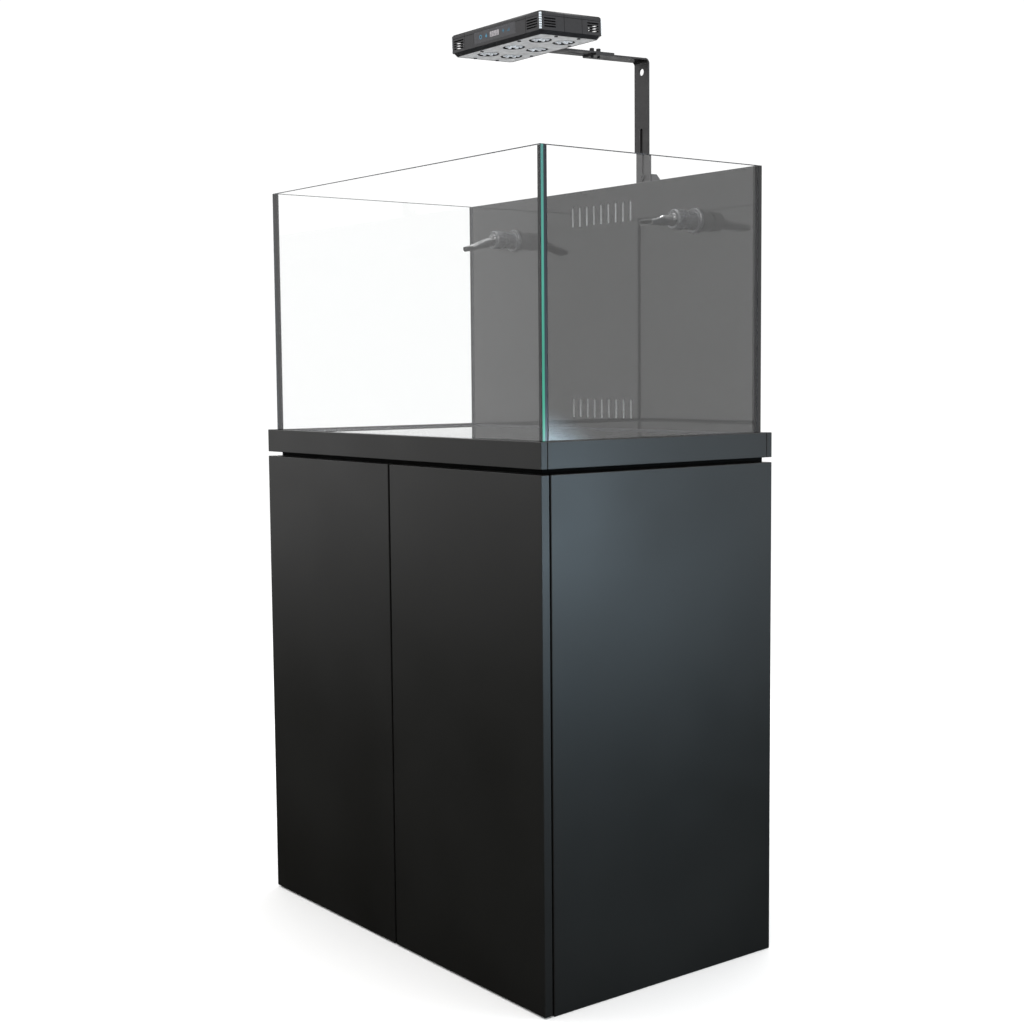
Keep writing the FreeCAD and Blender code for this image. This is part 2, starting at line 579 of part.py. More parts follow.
def arm_clamp():
    """A saddle over the filter box's back wall, two bolts through the slotted strip and a clamp screw."""
    wall_in = FILTER_BACK - FILTER_WALL
    face = ARM_DEPTH + STRIP_THICK / 2 + 0.05
    half, top, low = 20.0, TANK_TOP + 30.0, TANK_TOP - 42.0
    rear = FILTER_BACK + 9.0
    outline = Part.makePolygon([
        V(-half, depth(face), low), V(-half, depth(face), top), V(-half, depth(rear - 8), top),
        V(-half, depth(rear + 8), top - 16), V(-half, depth(rear + 8), top - 20),
        V(-half, depth(rear), top - 28), V(-half, depth(rear), low), V(-half, depth(face), low)])
    saddle = Part.Face(outline).extrude(V(2 * half, 0, 0))
    saddle = saddle.cut(block(-half - 1, half + 1, wall_in - 0.1, FILTER_BACK + 0.5, low - 1, FILTER_TOP + 0.1))
    screw_z = TANK_TOP - 24.0
    strip_front = ARM_DEPTH - STRIP_THICK / 2
    bolt_reach = (15.0, wall_in - strip_front - 0.3)
    bores = [rod(0, face - 1, z, 3.0, r + STRIP_THICK, (0, 1, 0)) for z, r in zip(BOLT_Z, bolt_reach)]
    saddle = saddle.cut(bores + [rod(0, FILTER_BACK, screw_z, 3.06, 20, (0, 1, 0))])
    tongue = block(-TONGUE_HALF, TONGUE_HALF, face, face + 2.0, top - 1, TONGUE_TOP)
    add("arm_clamp", saddle.fuse(tongue).removeSplitter())

    bolts = []
    for z, reach in zip(BOLT_Z, bolt_reach):
        shank = rod(0, strip_front - 0.05, z, 2.95, reach, (0, 1, 0))
        head = rod(0, strip_front - 0.05, z, 4.6, 3.2, (0, -1, 0))
        socket = rod(0, strip_front - 4, z, 1.8, 2.6, (0, 1, 0))
        bolts.append(shank.fuse(head.makeChamfer(0.5, [head.Edges[0]])).cut(socket).removeSplitter())
    add("arm_bolts", *bolts)

    knob_face = rear + 6.0
    knob = rod(0, knob_face, screw_z, 11.0, OVERALL_DEPTH - knob_face, (0, 1, 0))
    lobes = []
    for i in range(6):
        a = math.radians(i * 60)
        lobes.append(rod(14 * math.cos(a), knob_face - 1, screw_z + 14 * math.sin(a), 5.0, 20, (0, 1, 0)))
    stem = rod(0, FILTER_BACK + 0.7, screw_z, 3.0, knob_face - FILTER_BACK, (0, 1, 0))
    add("clamp_screw", knob.cut(lobes).fuse(stem).removeSplitter())


# ---------------------------------------------------------------- lamp
def upright_edges(shape):
    return [e for e in shape.Edges if e.BoundBox.XLength < 0.01 and e.BoundBox.YLength < 0.01]


def joint_lines(hx, front, back, low, top):
    """Cutters for the shallow lines where the lamp's corner pieces, sides and cover meet."""
    g = LAMP_GROOVE
    z = top - 8.0
    band = block(-hx - 1, hx + 1, front - 1, back + 1, z, z + g)
    cuts = [band.cut(block(-hx + g, hx - g, front + g, back - g, z - 1, z + 2))]
    for side in (-1, 1):
        x = side * (hx - 39)
        cuts.append(block(x, x + g, front - 1, front + g, low - 1, top + 1))
        cuts.append(block(x, x + g, back - g, back + 1, low - 1, top + 1))
        x0, x1 = sorted((side * (hx - g), side * (hx + 1)))
        for d in (front + 50, back - 44):
            cuts.append(block(x0, x1, d, d + g, low - 1, top + 1))
    return cuts


def lamp_housing(low):
    """A hollow shell, open below, with four louvres each side of every corner and two fan grilles."""
    hx, hy = LAMP_LENGTH / 2, LAMP_WIDTH / 2
    front, back = LAMP_DEPTH - hy, LAMP_DEPTH + hy
    top = low + LAMP_SHELL
    outer = block(-hx, hx, front, back, low, top)
    outer = outer.makeFillet(LAMP_CORNER, upright_edges(outer))
    outer = outer.makeChamfer(3.0, [e for e in outer.Edges if e.BoundBox.ZMin > top - 0.1])
    w = LAMP_WALL
    hollow = block(-hx + w, hx - w, front + w, back - w, low - 1, top - w)
    hollow = hollow.makeFillet(LAMP_CORNER - w, upright_edges(hollow))
    cuts = []
    for i in range(4):
        z0 = low + 5.0 + i * 4.2
        z1 = z0 + 2.2
        for sx in (-1, 1):
            x0, x1 = sorted((sx * (hx - 36), sx * (hx - 8)))
            cuts.append(block(x0, x1, front - 1, front + w + 1, z0, z1))
            cuts.append(block(x0, x1, back - w - 1, back + 1, z0, z1))
            x0, x1 = sorted((sx * (hx - w - 1), sx * (hx + 1)))
            cuts.append(block(x0, x1, front + 8, front + 32, z0, z1))
            cuts.append(block(x0, x1, back - 32, back - 8, z0, z1))
    for sx in (-1, 1):
        for i in range(-3, 4):
            d = LAMP_DEPTH + i * 7.0
            run = math.sqrt(26.0 ** 2 - (i * 7.0) ** 2)
            cuts.append(block(sx * FAN_X - run, sx * FAN_X + run, d - 1.6, d + 1.6, top - w - 1, top + 1))
    hole_z = LAMP_FACE + TAB_SCREW_Z
    cuts += [rod(s * TAB_SCREW_X, back - w - 1, hole_z, 1.6, w + 2, (0, 1, 0)) for s in (-1, 1)]
    inlet_z = low + 20.0
    cuts.append(rod(INLET_X, back - w - 1, inlet_z, 6.0, w + 2, (0, 1, 0)))
    cuts.append(block(-PANEL_HALF, PANEL_HALF, front - 1, front + 1.2, low + 4.5, low + 24.5))
    cuts += joint_lines(hx, front, back, low, top)
    add("lamp_housing", droop(outer.cut(hollow).cut(cuts)))
    panel = block(-PANEL_HALF + 0.2, PANEL_HALF - 0.2, front + 0.3, front + 1.15, low + 4.7, low + 24.3)
    add("control_panel", droop(panel))
    inlet = rod(INLET_X, back - w - 7, inlet_z, 5.9, w + 8, (0, 1, 0))
    collar = rod(INLET_X, back + 0.05, inlet_z, 8.0, 2.5, (0, 1, 0))
    pocket = rod(INLET_X, back - 6, inlet_z, 4.2, 12, (0, 1, 0))
    pin = rod(INLET_X, back - 7, inlet_z, 1.2, 8, (0, 1, 0))
    add("power_inlet", droop(inlet.fuse(collar).cut(pocket).fuse(pin).removeSplitter()))


def octagon(half_x, half_y, cut, z):
    """A closed wire: a rectangle with its corners cut."""
    corners = [
        (half_x - cut, -half_y), (half_x, -half_y + cut), (half_x, half_y - cut), (half_x - cut, half_y),
        (-half_x + cut, half_y), (-half_x, half_y - cut), (-half_x, -half_y + cut), (-half_x + cut, -half_y)]
    return Part.makePolygon([V(x, depth(LAMP_DEPTH) + y, z) for x, y in corners + corners[:1]])


def lamp_underside(low):
    """The tapered bezel, the lens plate in it and the screws that hold the plate and the arm."""
    hx, hy = LAMP_LENGTH / 2, LAMP_WIDTH / 2
    ring = Part.makeLoft([octagon(hx, hy, 6.0, low), octagon(hx - 5, hy - 5, 4.0, LAMP_FACE)], True, True)
    front, back = LAMP_DEPTH - hy, LAMP_DEPTH + hy
    inside = block(-hx + 9, hx - 9, front + 9, back - 9, LAMP_FACE - 1, low + 1)
    seat = block(-hx + 7, hx - 7, front + 7, back - 7, LAMP_FACE - 1, LAMP_FACE + 2.2)
    add("lamp_bezel", droop(ring.cut([inside, seat])))

    plate = block(-hx + 7.2, hx - 7.2, front + 7.2, back - 7.2, LAMP_FACE + 0.2, LAMP_FACE + 2.2)
    openings = [rod(x, d, LAMP_FACE - 1, LENS_R, 4, (0, 0, 1)) for x, d in lens_centres()]
    places = [(sx * 52.0, LAMP_DEPTH + sy * (hy - 12)) for sx in (-1, 1) for sy in (-1, 1)]
    places += [(sx * (hx - 12), LAMP_DEPTH + d) for sx in (-1, 1) for d in (-24.0, 24.0)]
    bores = [rod(x, d, LAMP_FACE - 1, 1.6, 4, (0, 0, 1)) for x, d in places]
    add("lens_plate", droop(plate.cut(openings + bores)))

    screws = []
    for x, d in places:
        head = rod(x, d, LAMP_FACE - 1.2, 3.0, 1.4, (0, 0, 1))
        screws.append(head.fuse(rod(x, d, LAMP_FACE, 1.55, 6.0, (0, 0, 1))).removeSplitter())
    tab_back = back + 0.05 + STRIP_THICK
    for side in (-1, 1):
        z = LAMP_FACE + TAB_SCREW_Z
        head = rod(side * TAB_SCREW_X, tab_back + 0.05, z, 3.6, 2.2, (0, 1, 0))
        shank = rod(side * TAB_SCREW_X, tab_back + 1, z, 1.55, 10.0, (0, -1, 0))
        screws.append(head.fuse(shank).removeSplitter())
    add("lamp_screws", *[droop(s) for s in screws])


def lens_centres():
    return [(x, LAMP_DEPTH + d) for x in (-72.0, 0.0, 72.0) for d in (-25.0, 25.0)]


def lamp_inside():
    """Lens clusters over round light boards, a finned heat sink and two fan rotors."""
    clusters, boards = [], []
    for x, d in lens_centres():
        disc = rod(x, d, LAMP_FACE + 0.6, LENS_R - 0.3, 4.0, (0, 0, 1))
        domes = []
        for k in range(7):
            a = math.radians(60 * k)
            r = 0.0 if k == 6 else 12.0
            point = V(x + r * math.cos(a), depth(d) + r * math.sin(a), LAMP_FACE + 3.6)
            domes.append(Part.makeSphere(4.6, point))
        keep = rod(x, d, LAMP_FACE - 3, LENS_R - 0.3, 7.6, (0, 0, 1))
        clusters.append(droop(disc.fuse(domes).common(keep).removeSplitter()))
        boards.append(droop(rod(x, d, LAMP_FACE + 5.0, LENS_R + 1, 1.6, (0, 0, 1))))
    add("lens_clusters", *clusters)
    add("led_boards", *boards)

    hx, hy = LAMP_LENGTH / 2 - 12, LAMP_WIDTH / 2 - 12
    sink_z = LAMP_FACE + 6.7
    sink = block(-hx, hx, LAMP_DEPTH - hy, LAMP_DEPTH + hy, sink_z, sink_z + 3.0)
    fins = []
    for i in range(15):
        x = -98.0 + i * 14.0
        d0, d1 = LAMP_DEPTH - hy + 2, LAMP_DEPTH + hy - 2
        fins.append(block(x - 0.8, x + 0.8, d0, d1, sink_z + 2, sink_z + 11.0))
    add("heat_sink", droop(sink.fuse(fins).removeSplitter()))

    for name, side in SIDES:
        x, z = side * FAN_X, sink_z + 13.0
        hub = rod(x, LAMP_DEPTH, z, 9.0, 9.5, (0, 0, 1))
        blades = []
        for k in range(7):
            blade = block(x + 8, x + 26, LAMP_DEPTH - 1, LAMP_DEPTH + 1, z - 1, z + 10)
            blade.rotate(V(x, depth(LAMP_DEPTH), z + 4.5), V(1, 0, 0), 48)
            blade = blade.common(rod(x, LAMP_DEPTH, z + 1, 25.0, 7.5, (0, 0, 1)))
            blade.rotate(V(x, depth(LAMP_DEPTH), 0), V(0, 0, 1), k * 360 / 7)
            blades.append(blade)
        add(f"fan_rotor_{name}", droop(hub.fuse(blades).removeSplitter()))


# ---------------------------------------------------------------- build
def main():
    carcass()
    doors()
    hinges()
    push_latches()
    tray()
    tank()
    filter_box()
    return_pump()
    return_pipes()
    wall_fittings()
    nozzles()
    arm_upright()
    arm_extension()
    thumbscrews()
    arm_clamp()
    lamp_low = LAMP_FACE + LAMP_BEZEL
    lamp_housing(lamp_low)
    lamp_underside(lamp_low)
    lamp_inside()
    os.makedirs("parts", exist_ok=True)
    for name, shape in NODES.items():
        if any(not s.isValid() or s.Volume <= 0 for s in shape.Solids):
            print("invalid solid in", name)
        shape.exportStep(f"parts/{name}.step")
    print(len(NODES), "nodes")


main()
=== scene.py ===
"""Finishes, small parts and studio for a rimless aquarium on a two-door cabinet.

All lengths are in metres. The doors face -Y, +X is to the right seen from the front, and +Z is up.
"""

import json
import math

import bmesh
import bpy
import numpy as np
from mathutils import Matrix, Vector


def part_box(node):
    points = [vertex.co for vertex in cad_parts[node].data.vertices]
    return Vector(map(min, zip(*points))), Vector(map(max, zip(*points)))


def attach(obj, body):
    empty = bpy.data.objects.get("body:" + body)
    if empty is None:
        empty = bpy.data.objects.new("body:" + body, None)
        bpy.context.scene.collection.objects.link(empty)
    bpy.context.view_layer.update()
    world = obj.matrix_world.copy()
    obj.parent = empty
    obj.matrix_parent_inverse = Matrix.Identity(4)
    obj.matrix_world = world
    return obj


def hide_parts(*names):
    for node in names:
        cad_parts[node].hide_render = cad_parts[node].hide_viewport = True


bl_info = {
    "name": "Rimless Aquarium on Cabinet",
    "version": (1, 0, 0),
    "blender": (4, 5, 0),
    "location": "View3D > Sidebar > Aquarium",
    "description": "Builds the finishes, small parts and studio of a rimless aquarium on a cabinet",
    "category": "Object",
}

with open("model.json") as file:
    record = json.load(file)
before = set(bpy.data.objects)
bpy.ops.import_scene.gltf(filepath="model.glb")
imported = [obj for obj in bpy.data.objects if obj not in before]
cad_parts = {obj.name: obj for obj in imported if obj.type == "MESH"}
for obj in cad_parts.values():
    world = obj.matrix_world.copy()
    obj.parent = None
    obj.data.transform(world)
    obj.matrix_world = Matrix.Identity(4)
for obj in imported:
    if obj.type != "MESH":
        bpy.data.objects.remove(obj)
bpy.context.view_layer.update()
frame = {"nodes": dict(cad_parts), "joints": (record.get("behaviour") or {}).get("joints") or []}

SIDES = (("left", -1), ("right", 1))
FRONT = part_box("door_left")[0].y                     # the doors' outer face
TANK_LOW, TANK_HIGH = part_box("glass_front")
PANE = TANK_HIGH.y - TANK_LOW.y                      # thickness of the clear glass
ARM_BEND = Vector((0.0, FRONT + 0.5575, 1.513))      # the lamp arm hangs about this point
LAMP_FACE = 1.512                                    # the lamp's underside, before it hangs
LAMP_MIDDLE = FRONT + 0.291
LAMP_HALF = (0.124, 0.066)                           # half its length and width
LAMP_CORNER = 0.004                                  # radius of its upright corners
SAME_POINT = 1e-6                                    # points nearer than this are merged
SHARP = math.radians(35)                             # edges that turn by more than this stay sharp
FULLEST_ROUND = 0.98                                 # share of a slab's half thickness its rounding may take


# ------------------------------------------------------------------ shapes
def grid_shape(points, closed=False):
    """A skin over a grid of points (rows, columns, 3). Neighbouring points in both directions make one
    four-sided face. Columns always join up round each row. closed also joins the last row to the first,
    and without it each end row is shut with one flat face."""
    rows, cols = points.shape[:2]
    index = np.arange(rows * cols).reshape(rows, cols)
    here = index if closed else index[:-1]
    after = np.roll(index, -1, 0) if closed else index[1:]
    quads = np.stack([here, np.roll(here, -1, 1), np.roll(after, -1, 1), after], -1).reshape(-1, 4)
    faces = quads.tolist()
    if not closed:
        faces += [index[0, ::-1].tolist(), index[-1].tolist()]
    return points.reshape(-1, 3), faces


def lathe(profile, centre, axis, segments, closed=False):
    """Revolves (radius, height) pairs: a point is the centre plus radius times (cos, sin) across the axis
    plus height along it. A closed profile makes a ring."""
    radius, height = np.asarray(profile, float).T
    angle = np.linspace(0, 2 * np.pi, segments, endpoint=False)
    a = radius[:, None] * np.cos(angle)
    b = radius[:, None] * np.sin(angle)
    h = np.repeat(height[:, None], segments, 1)
    order = {"z": (a, b, h), "y": (b, h, a)}[axis]
    return grid_shape(np.stack(order, -1) + np.asarray(centre, float), closed)


def slab(low, high, radius, steps=1):
    """A box with rounded edges. Each point is a corner of the box drawn in by the radius, plus the radius
    times the unit vector at (longitude, latitude), with both angles run through the corners' quarters."""
    low, high = np.asarray(low, float), np.asarray(high, float)
    middle, half = (low + high) / 2, (high - low) / 2
    radius = min(radius, half.min() * FULLEST_ROUND)
    quarter = np.linspace(0, np.pi / 2, steps + 1)
    around = np.concatenate([quarter + k * np.pi / 2 for k in range(4)])
    corner = np.repeat(np.arange(4), steps + 1)
    sign_x = np.array([1, -1, -1, 1])[corner]
    sign_y = np.array([1, 1, -1, -1])[corner]
    rise = np.concatenate([quarter - np.pi / 2, quarter])
    sign_z = np.repeat([-1, 1], steps + 1)
    core = half - radius
    x = sign_x * core[0] + radius * np.cos(rise)[:, None] * np.cos(around)
    y = sign_y * core[1] + radius * np.cos(rise)[:, None] * np.sin(around)
    z = np.repeat((sign_z * core[2] + radius * np.sin(rise))[:, None], len(around), 1)
    return grid_shape(np.stack([x, y, z], -1) + middle)


def strip(path, profile, across, up):
    """Carries a flat profile along a path: a point is the path's point plus the profile's first number
    along across and its second along up. across and up hold one vector for each path point."""
    path = np.asarray(path, float)[:, None]
    profile = np.asarray(profile, float)
    across = np.broadcast_to(np.asarray(across, float), (len(path), 3))[:, None]
    up = np.broadcast_to(np.asarray(up, float), (len(path), 3))[:, None]
    points = path + profile[:, 0][None, :, None] * across + profile[:, 1][None, :, None] * up
    return grid_shape(points)


def fillet_profile(size, steps=6):
    """The section of a smoothed bead in an inside corner: two legs of the given size and a hollow arc."""
    angle = np.linspace(np.pi, 1.5 * np.pi, steps + 1)
    arc = np.stack([size + size * np.cos(angle), size + size * np.sin(angle)], -1)
    return np.concatenate([[[0.0, 0.0]], arc[::-1]])


def hang(points, way=1):
    """Turns points of the lamp, built level, about the arm's bend into the line in which the arm hangs, or
    back with way -1."""
    axis = next(j["axis"] for j in frame["joints"] if j["name"] == "lamp_reach_slide")
    droop = way * math.atan2(-axis[2], -axis[1])
    y, z = points[:, 1] - ARM_BEND.y, points[:, 2] - ARM_BEND.z
    turned = points.copy()
    turned[:, 1] = ARM_BEND.y + y * math.cos(droop) - z * math.sin(droop)
    turned[:, 2] = ARM_BEND.z + y * math.sin(droop) + z * math.cos(droop)
    return turned


def hung(shape):
    """A (points, faces) shape of the lamp, built level and turned into its hanging line."""
    return hang(shape[0]), shape[1]


def clean(mesh):
    """Merges doubled points, drops faces without an area and turns the others outwards."""
    work = bmesh.new()
    work.from_mesh(mesh)
    bmesh.ops.remove_doubles(work, verts=work.verts, dist=SAME_POINT)
    bmesh.ops.dissolve_degenerate(work, edges=work.edges, dist=SAME_POINT)
    bmesh.ops.recalc_face_normals(work, faces=work.faces)
    work.to_mesh(mesh)
    work.free()


def add_piece(name, mesh, body, materials, replaces=()):
    """Adds a mesh as a finished piece that rides on a body."""
    for material in materials:
        mesh.materials.append(material)
    obj = bpy.data.objects.new(name, mesh)
    bpy.context.scene.collection.objects.link(obj)
    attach(obj, body)
    if replaces:
        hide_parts(*replaces)


def piece(name, shapes, body, material, replaces=()):
    """Adds one piece made of several (points, faces) shapes, smooth but for its sharp edges."""
    points, faces, start = [], [], 0
    for shape_points, shape_faces in shapes:
        points.append(shape_points)
        faces += [[start + i for i in face] for face in shape_faces]
        start += len(shape_points)
    mesh = bpy.data.meshes.new(name)
    mesh.from_pydata(np.concatenate(points).tolist(), [], faces)
    clean(mesh)
    mesh.shade_smooth()
    mesh.set_sharp_from_angle(angle=SHARP)
    add_piece(name, mesh, body, [material], replaces)


def coat(material, *nodes):
    """Gives carried-over nodes their finish."""
    for node in nodes:
        materials = frame["nodes"][node].data.materials
        materials.clear()
        materials.append(material)


def recut(node, name, body, materials, choose):
    """A copy of a node whose faces take one of several materials. choose gets the faces' middles and
    normals as arrays and returns each face's material number."""
    mesh = frame["nodes"][node].data.copy()
    mesh.name = name
    clean(mesh)
    mesh.materials.clear()
    count = len(mesh.polygons)
    middles, normals = np.zeros(count * 3), np.zeros(count * 3)
    mesh.polygons.foreach_get("center", middles)
    mesh.polygons.foreach_get("normal", normals)
    add_piece(name, mesh, body, materials, (node,))
    numbers = choose(middles.reshape(-1, 3), normals.reshape(-1, 3)).astype(np.int32)
    mesh.polygons.foreach_set("material_index", numbers)
    mesh.shade_flat()


# ------------------------------------------------------------------ materials
class Finish:
    """A node-built material with one surface shader and Object coordinates."""

    def __init__(self, name):
        self.material = bpy.data.materials.new(name)
        self.material.use_nodes = True
        self.tree = self.material.node_tree
        self.shader = self.tree.nodes["Principled BSDF"]
        self.output = self.tree.nodes["Material Output"]
        self.place = self.add("ShaderNodeTexCoord").outputs["Object"]

    def add(self, kind, **values):
        """Adds a node and sets its properties or inputs by name."""
        node = self.tree.nodes.new(kind)
        for key, value in values.items():
            if hasattr(node, key):
                setattr(node, key, value)
            else:
                node.inputs[key.replace("_", " ")].default_value = value
        return node

    def link(self, a, b):
        """Joins an output to an input."""
        self.tree.links.new(a, b)

    def set(self, **values):
        """Sets the shader's own inputs."""
        for key, value in values.items():
            self.shader.inputs[key.replace("_", " ")].default_value = value
        return self

    def noise(self, scale, detail=3.0, stretch=None):
        """A noise over the piece, with its grain stretched along an axis whose number is under one."""
        node = self.add("ShaderNodeTexNoise", Scale=scale, Detail=detail)
        source = self.place
        if stretch:
            mapping = self.add("ShaderNodeMapping")
            mapping.inputs["Scale"].default_value = stretch
            self.link(source, mapping.inputs["Vector"])
            source = mapping.outputs["Vector"]
        self.link(source, node.inputs["Vector"])
        return node.outputs["Fac"]

    def spread(self, value, low, high, start=0.3, stop=0.7):
        """Maps a noise's start to stop onto low to high."""
        node = self.add("ShaderNodeMapRange")
        for key, number in (("From Min", start), ("From Max", stop), ("To Min", low), ("To Max", high)):
            node.inputs[key].default_value = number
        self.link(value, node.inputs["Value"])
        return node.outputs["Result"]

    def blend(self, factor, low, high):
        """Mixes two colours by a factor."""
        node = self.add("ShaderNodeMix", data_type="RGBA")
        self.link(factor, node.inputs["Factor"])
        for socket, colour in ((node.inputs["A"], low), (node.inputs["B"], high)):
            if isinstance(colour, bpy.types.NodeSocket):
                self.link(colour, socket)
            else:
                socket.default_value = (*colour[:3], 1.0)
        return next(o for o in node.outputs if o.type == "RGBA")

    def drift(self, scale, detail=4.0):
        """A factor that wanders between nought and one."""
        return self.spread(self.noise(scale, detail), 0.0, 1.0, start=0.35, stop=0.65)

    def colour(self, tone, low, high, scale, detail=4.0):
        """A base colour that drifts between two shades of a tone."""
        tint = self.blend(self.drift(scale, detail), shade(tone, low), shade(tone, high))
        self.link(tint, self.shader.inputs["Base Color"])

    def rough(self, low, high, scale, detail=3.0):
        """A roughness that drifts between two values."""
        self.link(self.spread(self.noise(scale, detail), low, high), self.shader.inputs["Roughness"])

    def bump(self, height, strength, distance, normal=None):
        """Raises the surface by a height, over an earlier bump if one is given."""
        node = self.add("ShaderNodeBump", Strength=strength, Distance=distance)
        self.link(height, node.inputs["Height"])
        if normal is not None:
            self.link(normal, node.inputs["Normal"])
        self.link(node.outputs["Normal"], self.shader.inputs["Normal"])
        return node.outputs["Normal"]

    def combine(self, operation, first, second):
        """Works out one value from two."""
        node = self.add("ShaderNodeMath", operation=operation)
        for socket, value in zip(node.inputs, (first, second)):
            if isinstance(value, bpy.types.NodeSocket):
                self.link(value, socket)
            else:
                socket.default_value = value
        return node.outputs[0]

    def swap(self, factor, other):
        """Shows another shader in place of the surface where the factor is one."""
        mix = self.add("ShaderNodeMixShader")
        for socket, value in zip(mix.inputs, (factor, self.shader.outputs[0], other.outputs[0])):
            self.link(value, socket)
        self.link(mix.outputs[0], self.output.inputs["Surface"])


def shade(colour, factor):
    """A colour made darker or lighter by a factor."""
    return tuple(min(1.0, c * factor) for c in colour[:3])


def laminate(colour):
    """Matte black board laminate: a fine pebble, faint drifting smudges and a few pale specks."""
    f = Finish("black_laminate_board")
    f.set(Specular_IOR_Level=0.36)
    base = f.blend(f.drift(scale=5.0, detail=5.0), shade(colour, 0.88), shade(colour, 1.14))
    specks = f.spread(f.noise(scale=620.0, detail=1.0), 0.0, 0.5, start=0.74, stop=0.80)
    f.link(f.blend(specks, base, shade(colour, 3.0)), f.shader.inputs["Base Color"])
    f.rough(0.34, 0.44, scale=3.5, detail=6.0)
    pebble = f.bump(f.noise(scale=1400.0, detail=2.0), strength=0.16, distance=0.00012)
    f.bump(f.noise(scale=7.0, detail=2.0), strength=0.12, distance=0.0006, normal=pebble)
    return f.material


def raw_board(colour):
    """Dark melamine-faced chipboard inside the cabinet."""
    f = Finish("melamine_inner_board").set(Specular_IOR_Level=0.35)
    f.colour(colour, 0.75, 1.35, scale=240.0, detail=6.0)
    f.rough(0.52, 0.66, scale=40.0)
    f.bump(f.noise(scale=900.0), strength=0.2, distance=0.0002)
    return f.material


def powder_coat(name, colour, roughness):
    """Textured powder coat on steel: orange peel over a fine grit."""
    f = Finish(name).set(Specular_IOR_Level=0.5)
    f.colour(colour, 0.8, 1.25, scale=260.0)
    f.rough(roughness - 0.06, roughness + 0.08, scale=60.0)
    peel = f.bump(f.noise(scale=650.0, detail=2.0), strength=0.25, distance=0.00025)
    f.bump(f.noise(scale=3200.0, detail=1.0), strength=0.12, distance=0.00008, normal=peel)
    return f.material


def metal(name, colour, roughness):
    """Plated or anodised metal: a slow tone drift and a very fine grain."""
    f = Finish(name).set(Metallic=1.0)
    f.colour(colour, 0.86, 1.08, scale=62.5)
    f.rough(roughness - 0.07, roughness + 0.09, scale=500.0)
    f.bump(f.noise(scale=1000.0, detail=2.0), strength=0.08, distance=0.00006)
    return f.material


def plastic(name, colour, roughness, specular=0.5, grain=1800.0, depth=0.12):
    """Injection-moulded plastic: a fine spark-eroded grain and slow tone drift."""
    f = Finish(name).set(Specular_IOR_Level=specular)
    f.colour(colour, 0.86, 1.16, scale=70.0)
    f.rough(roughness - 0.05, roughness + 0.07, scale=45.0, detail=5.0)
    f.bump(f.noise(scale=grain, detail=2.0), strength=depth, distance=0.0001)
    return f.material


def fitting(colour):
    """Satin plastic of the fittings, pipes, pump and basket."""
    return plastic("fitting_plastic", colour, 0.26, specular=0.6)


def foam(name, colour, cell):
    """Cellular foam: pale walls round pores darkened with painted shade."""
    f = Finish(name).set(Roughness=0.95, Specular_IOR_Level=0.15)
    cells = f.add("ShaderNodeTexVoronoi", Scale=cell)
    f.link(f.place, cells.inputs["Vector"])
    pore_shade = f.spread(cells.outputs["Distance"], 0.0, 1.0, start=0.1, stop=0.6)
    f.link(f.blend(pore_shade, shade(colour, 0.35), shade(colour, 1.5)), f.shader.inputs["Base Color"])
    f.bump(cells.outputs["Distance"], strength=0.8, distance=0.0008)
    return f.material


def clear_glass(colour):
    """Float glass: clear, very faintly green. Lamps shine straight through it, so what is inside is lit."""
    f = Finish("clear_float_glass")
    f.set(Transmission_Weight=1.0, Roughness=0.0, IOR=1.5, Base_Color=(*colour, 1.0))
    clear = f.add("ShaderNodeBsdfTransparent", Color=(*colour, 1.0))
    f.swap(f.add("ShaderNodeLightPath").outputs["Is Shadow Ray"], clear)
    return f.material


def glass_edge(top, foot, seam):
    """A polished pane edge. Light that has run the length of the glass comes out green, purer lower down.
    On the front pane's upright edges the half beside the silicone is painted dark, a painted reflection of
    the silicone. Seen from inside the glass every edge is painted dark, a painted shade."""
    pure_height, seam_start, seam_full, seam_fade = 0.05, 0.0050, 0.0058, 0.0002
    f = Finish("polished_glass_edge").set(Specular_IOR_Level=0.5, Roughness=0.08)
    split = f.add("ShaderNodeSeparateXYZ")
    f.link(f.place, split.inputs[0])
    height = f.spread(split.outputs["Z"], 0.0, 1.0, start=TANK_HIGH.z, stop=TANK_LOW.z + pure_height)
    streak = f.spread(f.noise(scale=9.0, stretch=(60.0, 60.0, 1.0)), 0.75, 1.1)
    green = f.blend(height, top, foot)
    # Painted dark: a painted reflection of the silicone beside the seam, and painted shade on edges seen from
    # inside.
    dark = f.blend(height, seam, shade(seam, 3.2))
    front = TANK_LOW.y
    beside = f.spread(split.outputs["Y"], 0.0, 1.0, start=front + seam_start, stop=front + seam_full)
    back = f.spread(split.outputs["Y"], 1.0, 0.0, start=front + PANE, stop=front + PANE + seam_fade)
    inside = f.add("ShaderNodeNewGeometry").outputs["Backfacing"]
    painted_dark_share = f.combine("MAXIMUM", f.combine("MULTIPLY", beside, back), inside)
    tone = f.add("ShaderNodeVectorMath", operation="SCALE")
    f.link(f.blend(painted_dark_share, green, dark), tone.inputs[0])
    f.link(streak, tone.inputs["Scale"])
    f.link(tone.outputs[0], f.shader.inputs["Base Color"])
    f.bump(f.noise(scale=700.0, detail=2.0, stretch=(1.0, 1.0, 0.1)), strength=0.05, distance=0.0001)
    return f.material


def arris(colour):
    """The narrow ground bevel along a pane edge, dark against the light."""
    f = Finish("ground_glass_arris").set(Specular_IOR_Level=0.4)
    f.colour(colour, 0.7, 1.3, scale=300.0)
    f.rough(0.3, 0.45, scale=500.0)
    return f.material


def black_pane(colour):
    """Back-painted glass: deep and glossy, with a trace of haze."""
    f = Finish("black_back_painted_glass").set(Specular_IOR_Level=0.46, IOR=1.5)
    f.colour(colour, 0.85, 1.15, scale=6.0)
    f.rough(0.004, 0.02, scale=7.0, detail=6.0)
    return f.material


